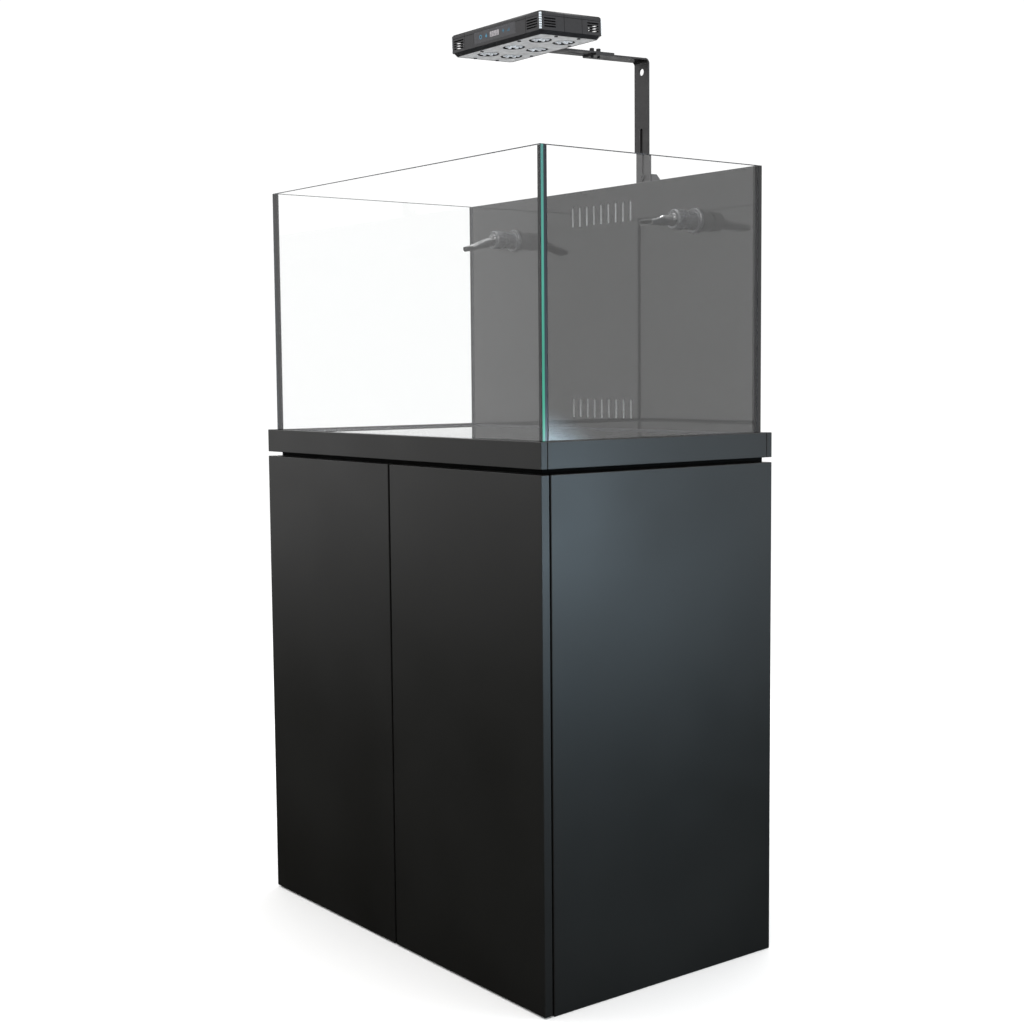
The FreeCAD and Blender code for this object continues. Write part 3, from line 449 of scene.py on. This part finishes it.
def frosted(colour):
    """The sawn wall of a slot or hole: rough and pale."""
    f = Finish("sawn_slot_wall").set(Specular_IOR_Level=0.4, Roughness=0.6)
    f.colour(colour, 0.8, 1.15, scale=400.0)
    f.bump(f.noise(scale=1500.0, detail=2.0, stretch=(1.0, 1.0, 0.2)), strength=0.3, distance=0.0002)
    return f.material


def silicone(colour):
    """Cured silicone: satin, with the soft waves of a finger-smoothed bead."""
    f = Finish("black_silicone").set(Specular_IOR_Level=0.4)
    f.colour(colour, 0.8, 1.3, scale=90.0)
    f.rough(0.28, 0.42, scale=60.0)
    f.bump(f.noise(scale=110.0), strength=0.2, distance=0.0006)
    return f.material


def smoked(colour):
    """Smoked acrylic sheet of the filter box: a little light gets through."""
    f = Finish("smoked_acrylic_sheet").set(Specular_IOR_Level=0.5, Transmission_Weight=0.35, IOR=1.49)
    f.colour(colour, 0.9, 1.1, scale=8.0)
    f.rough(0.04, 0.1, scale=10.0, detail=5.0)
    return f.material


def glow(name, colour, strength):
    """Printed mark lit from behind."""
    f = Finish(name).set(Roughness=0.35, Emission_Strength=strength, Emission_Color=(*colour, 1.0))
    f.colour(colour, 0.85, 1.0, scale=300.0)
    return f.material


# ------------------------------------------------------------------ settings
def length_setting(name, text, value):
    """A length in metres, shown to a hundredth of a millimetre."""
    return bpy.props.FloatProperty(name=name, description=text, default=value, unit="LENGTH", precision=5)


def colour_setting(name, text, value):
    """A colour as three linear shares of red, green and blue."""
    return bpy.props.FloatVectorProperty(
        name=name, description=text, default=value, subtype="COLOR", size=3, min=0.0, max=1.0
    )


def angle_setting(name, text, degrees):
    """An angle whose default is given in degrees."""
    turn = math.radians(degrees)
    return bpy.props.FloatProperty(name=name, description=text, default=turn, subtype="ANGLE")


class AquariumSizes(bpy.types.PropertyGroup):
    """Sizes of the small parts"""

    bead: length_setting("Silicone bead", "Leg of the smoothed bead in the tank's corners", 0.0030)
    rib_pitch: length_setting("Rib pitch", "Spacing of the ribs on the lamp's corners", 0.0027)
    rib_radius: length_setting("Rib radius", "Radius of one rib on the lamp's corners", 0.00095)
    lens_radius: length_setting("Lens radius", "Radius of one small lens in a cluster", 0.0044)
    cluster_radius: length_setting("Cluster radius", "Ring on which six lenses stand", 0.0120)
    icon: length_setting("Icon size", "Half the height of a mark on the touch panel", 0.0037)


class AquariumColours(bpy.types.PropertyGroup):
    """Colours of the finishes"""

    laminate: colour_setting("Laminate", "Cabinet and tray boards", (0.0038, 0.0038, 0.0034))
    inner_board: colour_setting("Inner board", "Boards inside the cabinet", (0.022, 0.021, 0.020))
    glass: colour_setting("Glass", "Tint of the clear glass", (0.993, 0.999, 0.997))
    edge_top: colour_setting("Edge, top", "Polished glass edges near their top", (0.050, 0.20, 0.18))
    edge_foot: colour_setting("Edge, foot", "Polished glass edges near their foot", (0.022, 0.26, 0.165))
    # Painted reflection of the silicone on the front pane's upright edges, and painted shade on every edge
    # seen from inside the glass.
    edge_seam: colour_setting("Edge, seam", "Part of an edge beside the silicone", (0.004, 0.008, 0.013))
    arris: colour_setting("Arris", "Ground bevels of the glass", (0.009, 0.011, 0.020))
    rear_pane: colour_setting("Rear pane", "Painted rear pane", (0.007, 0.007, 0.0075))
    slot_wall: colour_setting("Slot wall", "Sawn walls of the slots", (0.48, 0.49, 0.50))
    silicone: colour_setting("Silicone", "Seams of the tank", (0.006, 0.007, 0.011))
    acrylic: colour_setting("Acrylic", "Filter box and its lid", (0.05, 0.05, 0.055))
    fitting: colour_setting("Fitting", "Pipes, fittings and nozzles", (0.040, 0.042, 0.046))
    arm: colour_setting("Arm", "Powder coat of the lamp arm", (0.014, 0.013, 0.014))
    lamp: colour_setting("Lamp", "Lamp housing", (0.0085, 0.0080, 0.0098))
    lens_plate: colour_setting("Lens plate", "Underside of the lamp", (0.62, 0.61, 0.61))
    marks: colour_setting("Marks", "Lit marks on the touch panel", (0.03, 0.16, 0.26))


class AquariumStudio(bpy.types.PropertyGroup):
    """The camera and the floor"""

    lens: bpy.props.FloatProperty(name="Lens", description="Focal length", default=56.34, unit="CAMERA")
    turn: angle_setting("Turn", "Camera turn from the front", 52.54)
    tilt: angle_setting("Tilt", "Camera tilt downwards", 5.0)
    roll: angle_setting("Roll", "Camera roll", -0.51)
    floor: colour_setting("Floor", "Studio floor", (0.93, 0.93, 0.93))
    # Painted shade: the dark floor that glossy finishes mirror in place of the pale one.
    mirrored_shade: colour_setting("Mirrored floor", "Floor as glossy finishes mirror it", (0.019, 0.0175, 0.013))
    reach: length_setting("Floor reach", "Radius of the studio floor", 5.8)


def settings():
    """The three groups of settings of the open scene."""
    scene = bpy.context.scene
    return scene.aquarium_sizes, scene.aquarium_colours, scene.aquarium_studio


_made = {}


def made(build, colour):
    """Builds a material once and gives it to every operator that shares it."""
    if build not in _made:
        _made[build] = build(colour)
    return _made[build]


# ------------------------------------------------------------------ operators
class AQUARIUM_OT_cabinet(bpy.types.Operator):
    """Finish the cabinet's boards, hinges and latches, and add the port ring and door buffers"""

    bl_idname = "aquarium.cabinet"
    bl_label = "Cabinet"

    port_height = 0.64
    # The port ring's section: its radius and its depth behind the back panel, round the lip and the sleeve.
    port_ring = ((0.0298, -0.0055), (0.0298, 0.0002), (0.0345, 0.0002), (0.0358, 0.0008), (0.0355, 0.0017),
                 (0.0335, 0.0019), (0.0255, 0.0016), (0.0250, 0.0), (0.0262, -0.0055))
    buffer_radius, buffer_depth = 0.004, 0.0018
    buffer_inset = 0.012                             # from the edge where the doors meet
    buffer_low, buffer_high = 0.045, 0.025           # from the door's foot and from its top

    def execute(self, context):
        _, colours, _ = settings()
        board = made(laminate, colours.laminate)
        coat(board, "side_panel_left", "side_panel_right", "door_left", "door_right")
        inner = raw_board(colours.inner_board)
        coat(inner, "bottom_panel", "top_panel", "back_panel", "front_rail", "tray_base")
        # Near-black, almost unreflecting spacer: painted shade filling the shadow gap under the tray.
        coat(plastic("spacer_painted_shade", (0.002, 0.002, 0.002), 0.8, specular=0.1), "spacer_board")
        steel = metal("nickel_plated_steel", (0.62, 0.61, 0.59), 0.28)
        coat(steel, "hinge_cups_left", "hinge_cups_right", "hinge_arms")
        latch = plastic("grey_latch_plastic", (0.16, 0.16, 0.17), 0.5)
        coat(latch, "latch_housings", "latch_plunger_left", "latch_plunger_right")

        rubber = plastic("black_rubber", (0.02, 0.02, 0.02), 0.7, specular=0.3)
        hole = (0.0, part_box("back_panel")[1].y, self.port_height)
        ring = lathe(self.port_ring, hole, "y", 64, closed=True)
        piece("port_grommet", [ring], "cabinet", rubber)
        for side, sign in SIDES:
            piece(f"door_buffers_{side}", self.buffers(side, sign), f"door_{side}", rubber)
        return {"FINISHED"}

    def buffers(self, side, sign):
        """Two small domed pads on a door's back: a lathe of a quarter-round edge."""
        low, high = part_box(f"door_{side}")
        x = high.x - self.buffer_inset if sign < 0 else low.x + self.buffer_inset
        turn = np.linspace(0, 1.5, 6)
        edge = zip(self.buffer_radius * np.cos(turn), self.buffer_depth * np.sin(turn))
        profile = [(0.0, 0.0), *edge, (0.0, self.buffer_depth)]
        heights = (low.z + self.buffer_low, high.z - self.buffer_high)
        return [lathe(profile, (x, high.y, z), "y", 20) for z in heights]


class AQUARIUM_OT_tray(bpy.types.Operator):
    """Finish the tray's boards and the foam mat under the glass"""

    bl_idname = "aquarium.tray"
    bl_label = "Tray"

    def execute(self, context):
        _, colours, _ = settings()
        board = made(laminate, colours.laminate)
        coat(board, *[f"tray_board_{side}" for side in ("front", "rear", "left", "right")])
        coat(foam("closed_cell_mat", (0.05, 0.05, 0.05), cell=900.0), "tank_mat")
        return {"FINISHED"}


class AQUARIUM_OT_glass(bpy.types.Operator):
    """Finish the clear panes: clear faces, green polished edges and dark arrises"""

    bl_idname = "aquarium.glass"
    bl_label = "Glass"

    square = 0.95                                    # least cosine of a face that is square to an axis

    def execute(self, context):
        _, colours, _ = settings()
        clear = clear_glass(colours.glass)
        edge = glass_edge(colours.edge_top, colours.edge_foot, colours.edge_seam)
        bevel = arris(colours.arris)
        for node, axis in (("glass_front", 1), ("glass_left", 0), ("glass_right", 0), ("glass_bottom", 2)):
            def choose(middles, normals, axis=axis):
                """Face 0 is a broad face, 1 an edge square to an axis and 2 a slanted arris."""
                edges = np.abs(normals).max(1) > self.square
                return np.where(np.abs(normals[:, axis]) > self.square, 0, np.where(edges, 1, 2))
            recut(node, f"{node}_pane", "cabinet", [clear, edge, bevel], choose)
        return {"FINISHED"}


class AQUARIUM_OT_rear_pane(bpy.types.Operator):
    """Finish the opaque rear pane: glossy black faces and pale sawn slots"""

    bl_idname = "aquarium.rear_pane"
    bl_label = "Rear pane"

    across = 0.3                                     # greatest cosine of a face that looks across the pane
    margin = 0.01                                    # the outer edges lie nearer to the pane's box than this

    def execute(self, context):
        _, colours, _ = settings()
        gloss = black_pane(colours.rear_pane)
        sawn = frosted(colours.slot_wall)
        low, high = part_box("rear_pane")

        def choose(middles, normals):
            """Face 1 is a wall of a slot or hole: it faces across the pane, away from the outer edges."""
            x, z = middles[:, 0], middles[:, 2]
            inside = (x > low.x + self.margin) & (x < high.x - self.margin)
            inside &= (z > low.z + self.margin) & (z < high.z - self.margin)
            return inside & (np.abs(normals[:, 1]) < self.across)
        recut("rear_pane", "rear_pane_painted", "cabinet", [gloss, sawn], choose)
        return {"FINISHED"}


class AQUARIUM_OT_silicone(bpy.types.Operator):
    """Finish the seams and add the smoothed beads in the tank's inside corners"""

    bl_idname = "aquarium.silicone"
    bl_label = "Silicone"

    below_top = 0.001                                # the upright beads end this far under the panes' tops

    def execute(self, context):
        sizes, colours, _ = settings()
        rubber = silicone(colours.silicone)
        coat(rubber, "silicone_seams")
        floor_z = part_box("glass_bottom")[1].z
        x0, x1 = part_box("glass_left")[1].x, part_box("glass_right")[0].x
        y0, y1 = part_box("glass_front")[1].y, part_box("rear_pane")[0].y
        top = TANK_HIGH.z - self.below_top
        profile = fillet_profile(sizes.bead)
        shapes = []
        for x, sx in ((x0, 1), (x1, -1)):
            for y, sy in ((y0, 1), (y1, -1)):
                path = [(x, y, floor_z), (x, y, top)]
                shapes.append(strip(path, profile, (sx, 0, 0), (0, sy, 0)))
            path = [(x, y0, floor_z), (x, y1, floor_z)]
            shapes.append(strip(path, profile, (sx, 0, 0), (0, 0, 1)))
        for y, sy in ((y0, 1), (y1, -1)):
            path = [(x0, y, floor_z), (x1, y, floor_z)]
            shapes.append(strip(path, profile, (0, sy, 0), (0, 0, 1)))
        piece("silicone_beads", shapes, "cabinet", rubber)
        return {"FINISHED"}


class AQUARIUM_OT_returns(bpy.types.Operator):
    """Finish the wall fittings, union rings, swivel balls and fan nozzles"""

    bl_idname = "aquarium.returns"
    bl_label = "Return nozzles"

    def execute(self, context):
        _, colours, _ = settings()
        body = made(fitting, colours.fitting)
        ball = plastic("polished_ball_plastic", shade(colours.fitting, 0.5), 0.08, specular=0.9, depth=0.03)
        fan = plastic("nozzle_plastic", shade(colours.fitting, 0.35), 0.09, specular=0.9, depth=0.03)
        coat(body, "wall_fittings", "wall_nuts", "union_ring_left", "union_ring_right")
        coat(ball, "swivel_ball_left", "swivel_ball_right")
        coat(fan, "fan_nozzle_left", "fan_nozzle_right")
        return {"FINISHED"}


class AQUARIUM_OT_filter(bpy.types.Operator):
    """Finish the filter box, its lid, media basket, sponge, pump and pipes"""

    bl_idname = "aquarium.filter"
    bl_label = "Filter box"

    def execute(self, context):
        _, colours, _ = settings()
        body = made(fitting, colours.fitting)
        coat(smoked(colours.acrylic), "filter_box", "filter_lid")
        coat(body, "return_pipes", "return_pump", "media_basket", "clamp_screw")
        coat(plastic("white_impeller", (0.6, 0.6, 0.58), 0.4), "pump_impeller")
        coat(foam("blue_grey_sponge", (0.05, 0.07, 0.10), cell=420.0), "filter_sponge")
        return {"FINISHED"}


class AQUARIUM_OT_arm(bpy.types.Operator):
    """Finish the lamp arm, its clamp and its screws"""

    bl_idname = "aquarium.arm"
    bl_label = "Lamp arm"

    def execute(self, context):
        _, colours, _ = settings()
        coat(powder_coat("arm_powder_coat", colours.arm, 0.42), "arm_upright", "arm_extension", "arm_clamp")
        screws = plastic("black_oxide_screw_steel", (0.005, 0.005, 0.006), 0.34, specular=0.45)
        coat(screws, "arm_bolts", "lamp_screws", "thumbscrew_front", "thumbscrew_rear")
        return {"FINISHED"}


class AQUARIUM_OT_lamp(bpy.types.Operator):
    """Finish the lamp's shell and add the ribs on its corners"""

    bl_idname = "aquarium.lamp"
    bl_label = "Lamp shell"

    joint_depth = 0.0006                             # deeper than this a wall's face is in a louvre or joint
    top_depth = 0.0015
    wall = 0.0022
    rib_foot, rib_top = 0.0085, 0.0335               # heights over the lamp's face
    rib_end = 0.28                                   # angle left free at each end of a rib
    rib_sink = 0.0002

    def execute(self, context):
        sizes, colours, _ = settings()
        shell = powder_coat("lamp_housing_coat", colours.lamp, 0.36)
        trim = plastic("lamp_trim_plastic", (0.016, 0.016, 0.018), 0.34)
        # Near-black painted shade for the faces inside the housing's walls, louvres and joint lines.
        black = plastic("lamp_inside_painted_shade", (0.0015, 0.0015, 0.0016), 0.7, specular=0.15)
        recut("lamp_housing", "lamp_housing_shell", "lamp", [shell, black], self.choose)
        coat(trim, "lamp_bezel", "power_inlet", "fan_rotor_left", "fan_rotor_right")
        coat(metal("black_anodised_fins", (0.06, 0.06, 0.065), 0.4), "heat_sink")
        # The ribs' pale bluish colour is a painted highlight on the black housing's corners.
        rib_highlight = plastic("rib_painted_highlight", (0.78, 0.84, 0.92), 0.2, specular=0.9, depth=0.02)
        piece("lamp_corner_ribs", self.ribs(sizes), "lamp", rib_highlight)
        return {"FINISHED"}

    def choose(self, middles, normals):
        """Face 1 lies inside the walls, in a louvre or in a joint line, and takes near-black painted shade.
        """
        level = hang(middles, -1)
        x = LAMP_HALF[0] - np.abs(level[:, 0])
        y = LAMP_HALF[1] - np.abs(level[:, 1] - LAMP_MIDDLE)
        top = level[:, 2].max() - level[:, 2]
        shaded_recess = (x > self.joint_depth) & (y > self.joint_depth) & (top > self.top_depth)
        return shaded_recess & ((x > self.wall) | (y > self.wall))

    def ribs(self, sizes):
        """Half-sunk round rods that follow each rounded corner, one above the other: circles of the rib's
        radius carried round a quarter of the corner's arc."""
        angle = np.linspace(0, 2 * np.pi, 8, endpoint=False)
        profile = sizes.rib_radius * np.stack([np.cos(angle), np.sin(angle)], -1)
        turn = np.linspace(self.rib_end, np.pi / 2 - self.rib_end, 9)
        shapes = []
        for sx in (-1, 1):
            for sy in (-1, 1):
                out = np.stack([sx * np.cos(turn), sy * np.sin(turn), 0 * turn], -1)
                x = sx * (LAMP_HALF[0] - LAMP_CORNER)
                y = LAMP_MIDDLE + sy * (LAMP_HALF[1] - LAMP_CORNER)
                for z in np.arange(LAMP_FACE + self.rib_foot, LAMP_FACE + self.rib_top, sizes.rib_pitch):
                    path = np.array([x, y, z]) + (LAMP_CORNER - self.rib_sink) * out
                    shapes.append(hung(strip(path, profile, out, (0, 0, 1))))
        return shapes


class AQUARIUM_OT_touch_panel(bpy.types.Operator):
    """Finish the touch panel and add its display, digits and marks"""

    bl_idname = "aquarium.touch_panel"
    bl_label = "Touch panel"

    proud = 0.00028                                  # the panel's face stands this far out of the housing
    middle = LAMP_FACE + 0.0205                      # height of the display's middle
    window = (0.0125, 0.0043)                        # half its width and height
    digits = ((-0.0075, "abged"), (-0.0012, "afgcd"), (0.0068, "abcdef"))
    bright_marks = ((-0.0385, "ring"), (-0.0225, "drop"))
    faint_marks = ((0.0245, "plus"), (0.0385, "bars"))

    def execute(self, context):
        sizes, colours, _ = settings()
        coat(plastic("touch_panel_gloss", (0.028, 0.028, 0.032), 0.12, depth=0.02), "control_panel")
        lit = glow("lit_marks", colours.marks, 0.3)
        faint = glow("faint_marks", shade(colours.marks, 0.7), 0.25)
        pale = glow("display_window", (0.33, 0.31, 0.33), 0.03)
        dark = plastic("display_digits", (0.08, 0.08, 0.09), 0.3)
        face = LAMP_MIDDLE - LAMP_HALF[1] + self.proud
        half_x, half_z = self.window
        low = (-half_x, face - 0.0001, self.middle - half_z)
        high = (half_x, face + 0.0005, self.middle + half_z)
        window = slab(low, high, 0.0003, steps=3)
        piece("display_window", [hung(window)], "lamp", pale)
        digits = [hung(bar) for x, bars in self.digits for bar in digit(x, face - 0.00015, self.middle, bars)]
        piece("display_digits", digits, "lamp", dark)
        for name, finish, kinds in (("touch_marks_left", lit, self.bright_marks),
                                    ("touch_marks_right", faint, self.faint_marks)):
            marks = [hung(shape) for x, kind in kinds
                     for shape in mark(kind, x, face - 0.0001, self.middle, sizes.icon)]
            piece(name, marks, "lamp", finish)
        return {"FINISHED"}


def digit(x, y, z, bars):
    """A seven-bar digit: each bar is a thin slab at its place in the figure."""
    w, h, t = 0.0018, 0.0027, 0.0004                 # half a figure's width and height, and half a bar's
    places = {"a": (0, h, w, t), "g": (0, 0, w, t), "d": (0, -h, w, t),
              "f": (-w, h / 2, t, h / 2), "b": (w, h / 2, t, h / 2),
              "e": (-w, -h / 2, t, h / 2), "c": (w, -h / 2, t, h / 2)}
    shapes = []
    for bar in bars:
        dx, dz, a, b = places[bar]
        low, high = (x + dx - a, y - 0.0001, z + dz - b), (x + dx + a, y + 0.0002, z + dz + b)
        shapes.append(slab(low, high, 0.0001))
    return shapes


def mark(kind, x, y, z, size):
    """A plain lit mark: a ring, a disc under a short bar, a plus or three rising bars. Each is made of
    lathes and slabs whose measures are shares of the mark's size."""
    t, thin = size * 0.18, 0.0001

    def bar(left, right, foot, top):
        """A thin slab between four distances from the mark's middle."""
        return slab((x + left, y - thin, z + foot), (x + right, y + thin, z + top), thin)

    if kind == "ring":
        angle = np.linspace(0, 2 * np.pi, 8, endpoint=False)
        section = np.stack([size * 0.8 + t * np.cos(angle), 0.00008 * np.sin(angle)], -1)
        return [lathe(section, (x, y, z), "y", 32, closed=True)]
    if kind == "drop":
        edge = size * 0.62
        disc = lathe([(0, -thin), (edge, -thin), (edge, thin), (0, thin)], (x, y, z - size * 0.2), "y", 24)
        return [disc, bar(-t, t, size * 0.5, size)]
    if kind == "plus":
        arm = size * 0.8
        return [bar(-arm, arm, -t, t), bar(-t, t, -arm, arm)]
    return [bar((i - 1) * size * 0.7 - t, (i - 1) * size * 0.7 + t, -size * 0.8, -size * 0.3 + i * size * 0.5)
            for i in range(3)]


class AQUARIUM_OT_lenses(bpy.types.Operator):
    """Finish the lens plate and build the rims, dishes, lenses and light chips"""

    bl_idname = "aquarium.lenses"
    bl_label = "Lenses"

    columns, rows = (-0.072, 0.0, 0.072), (-0.025, 0.025)
    # Sections of (radius, height over the lamp's face).
    rim = ((0.0184, 0.0044), (0.0184, 0.0004), (0.0188, 0.0), (0.0192, 0.0004), (0.0192, 0.0044))
    dish = ((0.0, 0.0036), (0.0183, 0.0036), (0.0183, 0.0044), (0.0, 0.0044))
    dome_base, dome_rise = 0.0034, 0.0040
    chip_half, chip_foot, chip_thick = 0.0013, 0.0035, 0.0009

    def execute(self, context):
        sizes, colours, _ = settings()
        coat(plastic("lens_plate_satin", colours.lens_plate, 0.42, grain=700.0), "lens_plate")
        coat(plastic("white_board_lacquer", (0.55, 0.56, 0.54), 0.45), "led_boards")
        # Black lens holder walls; their near-black also paints the shade inside each lens recess.
        black = plastic("lens_rim_black_and_shade", (0.0025, 0.0025, 0.003), 0.3, specular=0.3, depth=0.03)
        chip = plastic("phosphor_chip", (0.55, 0.42, 0.10), 0.35)
        # Opaque milky white domes: painted highlights standing for the white highlights on the clear lenses.
        lens_highlight = plastic("lens_painted_highlight", (0.72, 0.73, 0.75), 0.08, specular=0.9, depth=0.03)
        white = plastic("lens_dish_white", (0.62, 0.63, 0.64), 0.3, specular=0.7, grain=700.0)
        rims, dishes, domes, chips = [], [], [], []
        for x in self.columns:
            for y in self.rows:
                centre = np.array([x, LAMP_MIDDLE + y, LAMP_FACE])
                rims.append(hung(lathe(self.rim, centre, "z", 48, closed=True)))
                dishes.append(hung(lathe(self.dish, centre, "z", 48)))
                for spot in self.spots(centre, sizes.cluster_radius):
                    domes.append(hung(self.dome(spot, sizes.lens_radius)))
                    chips.append(hung(self.chip(spot)))
        piece("lens_rims", rims, "lamp", black)
        piece("lens_dishes", dishes, "lamp", white)
        piece("lens_domes", domes, "lamp", lens_highlight, ("lens_clusters",))
        piece("light_chips", chips, "lamp", chip)
        return {"FINISHED"}

    def spots(self, centre, radius):
        """Six places at equal angles on a ring, and its centre."""
        turn = np.radians(60.0 * np.arange(6))
        ring = radius * np.stack([np.cos(turn), np.sin(turn), 0 * turn], -1)
        return [*(centre + ring), centre]

    def dome(self, centre, radius):
        """A dome: its height falls as the square root of one minus the squared radius share."""
        share = np.sin(np.linspace(0, np.pi / 2, 9))
        height = self.dome_base - self.dome_rise * np.sqrt(np.maximum(0.0, 1 - share ** 2))
        profile = [*zip(radius * share, height), (0.0, self.dome_base)]
        return lathe(profile, centre, "z", 24)

    def chip(self, centre):
        """A square slab over the middle of a lens."""
        low = centre + np.array([-self.chip_half, -self.chip_half, self.chip_foot])
        return slab(low, low + np.array([2 * self.chip_half, 2 * self.chip_half, self.chip_thick]), 0.0002)


class AQUARIUM_OT_studio(bpy.types.Operator):
    """Set the floor, the soft lights and the camera"""

    bl_idname = "aquarium.studio"
    bl_label = "Studio"

    floor_gap = 0.0005                               # the floor lies this far under the cabinet's foot
    surround = 1.06
    # Each light's name, place, aim, width and height, colour and watts.
    softboxes = (
        ("key_softbox", (2.6, -2.6, 3.6), (0.0, 0.0, 1.0), (1.6, 1.6), (1.0, 0.99, 0.97), 60.0),
        ("fill_softbox", (-2.4, -3.0, 4.2), (0.0, 0.0, 1.0), (1.8, 1.8), (1.0, 0.98, 0.95), 30.0),
        ("top_softbox", (0.0, 0.4, 4.4), (0.0, 0.0, 0.0), (3.0, 3.0), (1.0, 1.0, 1.0), 75.0),
        ("rim_softbox", (-1.64, 1.9, 3.15), (0.0, 0.0, 1.2), (0.5, 0.5), (1.0, 1.0, 1.0), 12.0),
        ("cool_window", (3.3, 1.70, 0.43), (0.4, -0.2, 0.6), (1.25, 0.92), (0.62, 0.84, 1.0), 126.0),
    )
    camera_place = (2.195, FRONT - 1.4286, 0.9548)

    def execute(self, context):
        _, _, studio = settings()
        self.floor(studio)
        self.lights()
        self.camera(studio)
        return {"FINISHED"}

    def floor(self, studio):
        """A round pale floor. Mirrored in glossy finishes it is painted dark, a painted shade in the
        reflections.
        """
        turn = np.linspace(0, 2 * np.pi, 96, endpoint=False)
        rim = np.stack([studio.reach * np.cos(turn), studio.reach * np.sin(turn), 0 * turn], -1)
        mesh = bpy.data.meshes.new("studio_floor")
        mesh.from_pydata(rim.tolist(), [], [list(range(len(turn)))])
        f = Finish("studio_floor").set(Roughness=0.9, Specular_IOR_Level=0.05)
        f.colour(studio.floor, 0.985, 1.0, scale=0.8)
        dim = f.add("ShaderNodeBsdfDiffuse", Color=(*studio.mirrored_shade, 1.0))
        mirrored_shade = f.add("ShaderNodeLightPath").outputs["Glossy Depth"]
        f.swap(f.combine("MINIMUM", mirrored_shade, 1.0), dim)
        mesh.materials.append(f.material)
        obj = bpy.data.objects.new("studio_floor", mesh)
        obj.location.z = -self.floor_gap
        bpy.context.scene.collection.objects.link(obj)

    def lights(self):
        """An even white surround, four high softboxes and a cool window low at the back right."""
        world = bpy.data.worlds.new("studio_world")
        world.use_nodes = True
        surround = world.node_tree.nodes["Background"]
        surround.inputs["Color"].default_value = (1.0, 1.0, 1.0, 1.0)
        surround.inputs["Strength"].default_value = self.surround
        bpy.context.scene.world = world
        for name, spot, aim, size, colour, power in self.softboxes:
            light = bpy.data.lights.new(name, "AREA")
            light.shape = "RECTANGLE"
            light.size, light.size_y = size
            light.energy = power
            light.color = colour
            obj = bpy.data.objects.new(name, light)
            obj.location = spot
            obj.rotation_euler = (Vector(aim) - Vector(spot)).to_track_quat("-Z", "Y").to_euler()
            bpy.context.scene.collection.objects.link(obj)
            if name == "cool_window":
                self.fade(light)
        bpy.context.scene.view_settings.view_transform = "Standard"

    def fade(self, light):
        """Lets a light fall off from its middle to its edges, so that its mirror image has no hard edge."""
        light.use_nodes = True
        tree = light.node_tree
        place = tree.nodes.new("ShaderNodeNewGeometry").outputs["Parametric"]
        offset = tree.nodes.new("ShaderNodeVectorMath")
        offset.operation = "DISTANCE"
        offset.inputs[1].default_value = (0.5, 0.5, 0.0)
        strength = tree.nodes.new("ShaderNodeMapRange")
        strength.interpolation_type = "SMOOTHSTEP"
        for key, number in (("From Min", 0.5), ("From Max", 0.0), ("To Min", 0.0), ("To Max", 1.0)):
            strength.inputs[key].default_value = number
        tree.links.new(place, offset.inputs[0])
        tree.links.new(offset.outputs["Value"], strength.inputs["Value"])
        tree.links.new(strength.outputs["Result"], tree.nodes["Emission"].inputs["Strength"])

    def camera(self, studio):
        """Looks along a heading turned from the front, tilted down and rolled."""
        turn, tilt, roll = studio.turn, studio.tilt, studio.roll
        ahead = Vector((-math.sin(turn) * math.cos(tilt), math.cos(turn) * math.cos(tilt), -math.sin(tilt)))
        right = Vector((math.cos(turn), math.sin(turn), 0.0))
        up = right.cross(ahead)
        right, up = right * math.cos(roll) + up * math.sin(roll), up * math.cos(roll) - right * math.sin(roll)
        camera = bpy.data.cameras.new("studio_camera")
        camera.lens = studio.lens
        camera.clip_end = 200.0                      # metres, past the floor's far rim
        obj = bpy.data.objects.new("studio_camera", camera)
        place = Matrix((right, up, -ahead)).transposed().to_4x4()
        place.translation = self.camera_place
        obj.matrix_world = place
        bpy.context.scene.collection.objects.link(obj)
        bpy.context.scene.camera = obj


OPERATORS = (
    AQUARIUM_OT_studio,
    AQUARIUM_OT_cabinet,
    AQUARIUM_OT_tray,
    AQUARIUM_OT_glass,
    AQUARIUM_OT_rear_pane,
    AQUARIUM_OT_silicone,
    AQUARIUM_OT_returns,
    AQUARIUM_OT_filter,
    AQUARIUM_OT_arm,
    AQUARIUM_OT_lamp,
    AQUARIUM_OT_touch_panel,
    AQUARIUM_OT_lenses,
)


class AQUARIUM_PT_panel(bpy.types.Panel):
    """Lists the aquarium's steps and settings"""

    bl_idname = "AQUARIUM_PT_panel"
    bl_label = "Aquarium"
    bl_space_type = "VIEW_3D"
    bl_region_type = "UI"
    bl_category = "Aquarium"

    def draw(self, context):
        for group in settings():
            box = self.layout.box()
            for name in group.__annotations__:
                box.prop(group, name)
        for operator in OPERATORS:
            self.layout.operator(operator.bl_idname)


GROUPS = (
    ("aquarium_sizes", AquariumSizes),
    ("aquarium_colours", AquariumColours),
    ("aquarium_studio", AquariumStudio),
)


def register():
    """Adds the settings, the operators and the panel to Blender."""
    for _, group in GROUPS:
        bpy.utils.register_class(group)
    for operator in OPERATORS:
        bpy.utils.register_class(operator)
    bpy.utils.register_class(AQUARIUM_PT_panel)
    for name, group in GROUPS:
        setattr(bpy.types.Scene, name, bpy.props.PointerProperty(type=group))


def unregister():
    """Takes them away again."""
    for name, _ in GROUPS:
        delattr(bpy.types.Scene, name)
    bpy.utils.unregister_class(AQUARIUM_PT_panel)
    for operator in OPERATORS:
        bpy.utils.unregister_class(operator)
    for _, group in GROUPS:
        bpy.utils.unregister_class(group)


def main():
    """Runs every operator in order."""
    register()
    for operator in OPERATORS:
        getattr(bpy.ops.aquarium, operator.bl_idname.split(".")[1])()


if __name__ == "__main__":
    main()
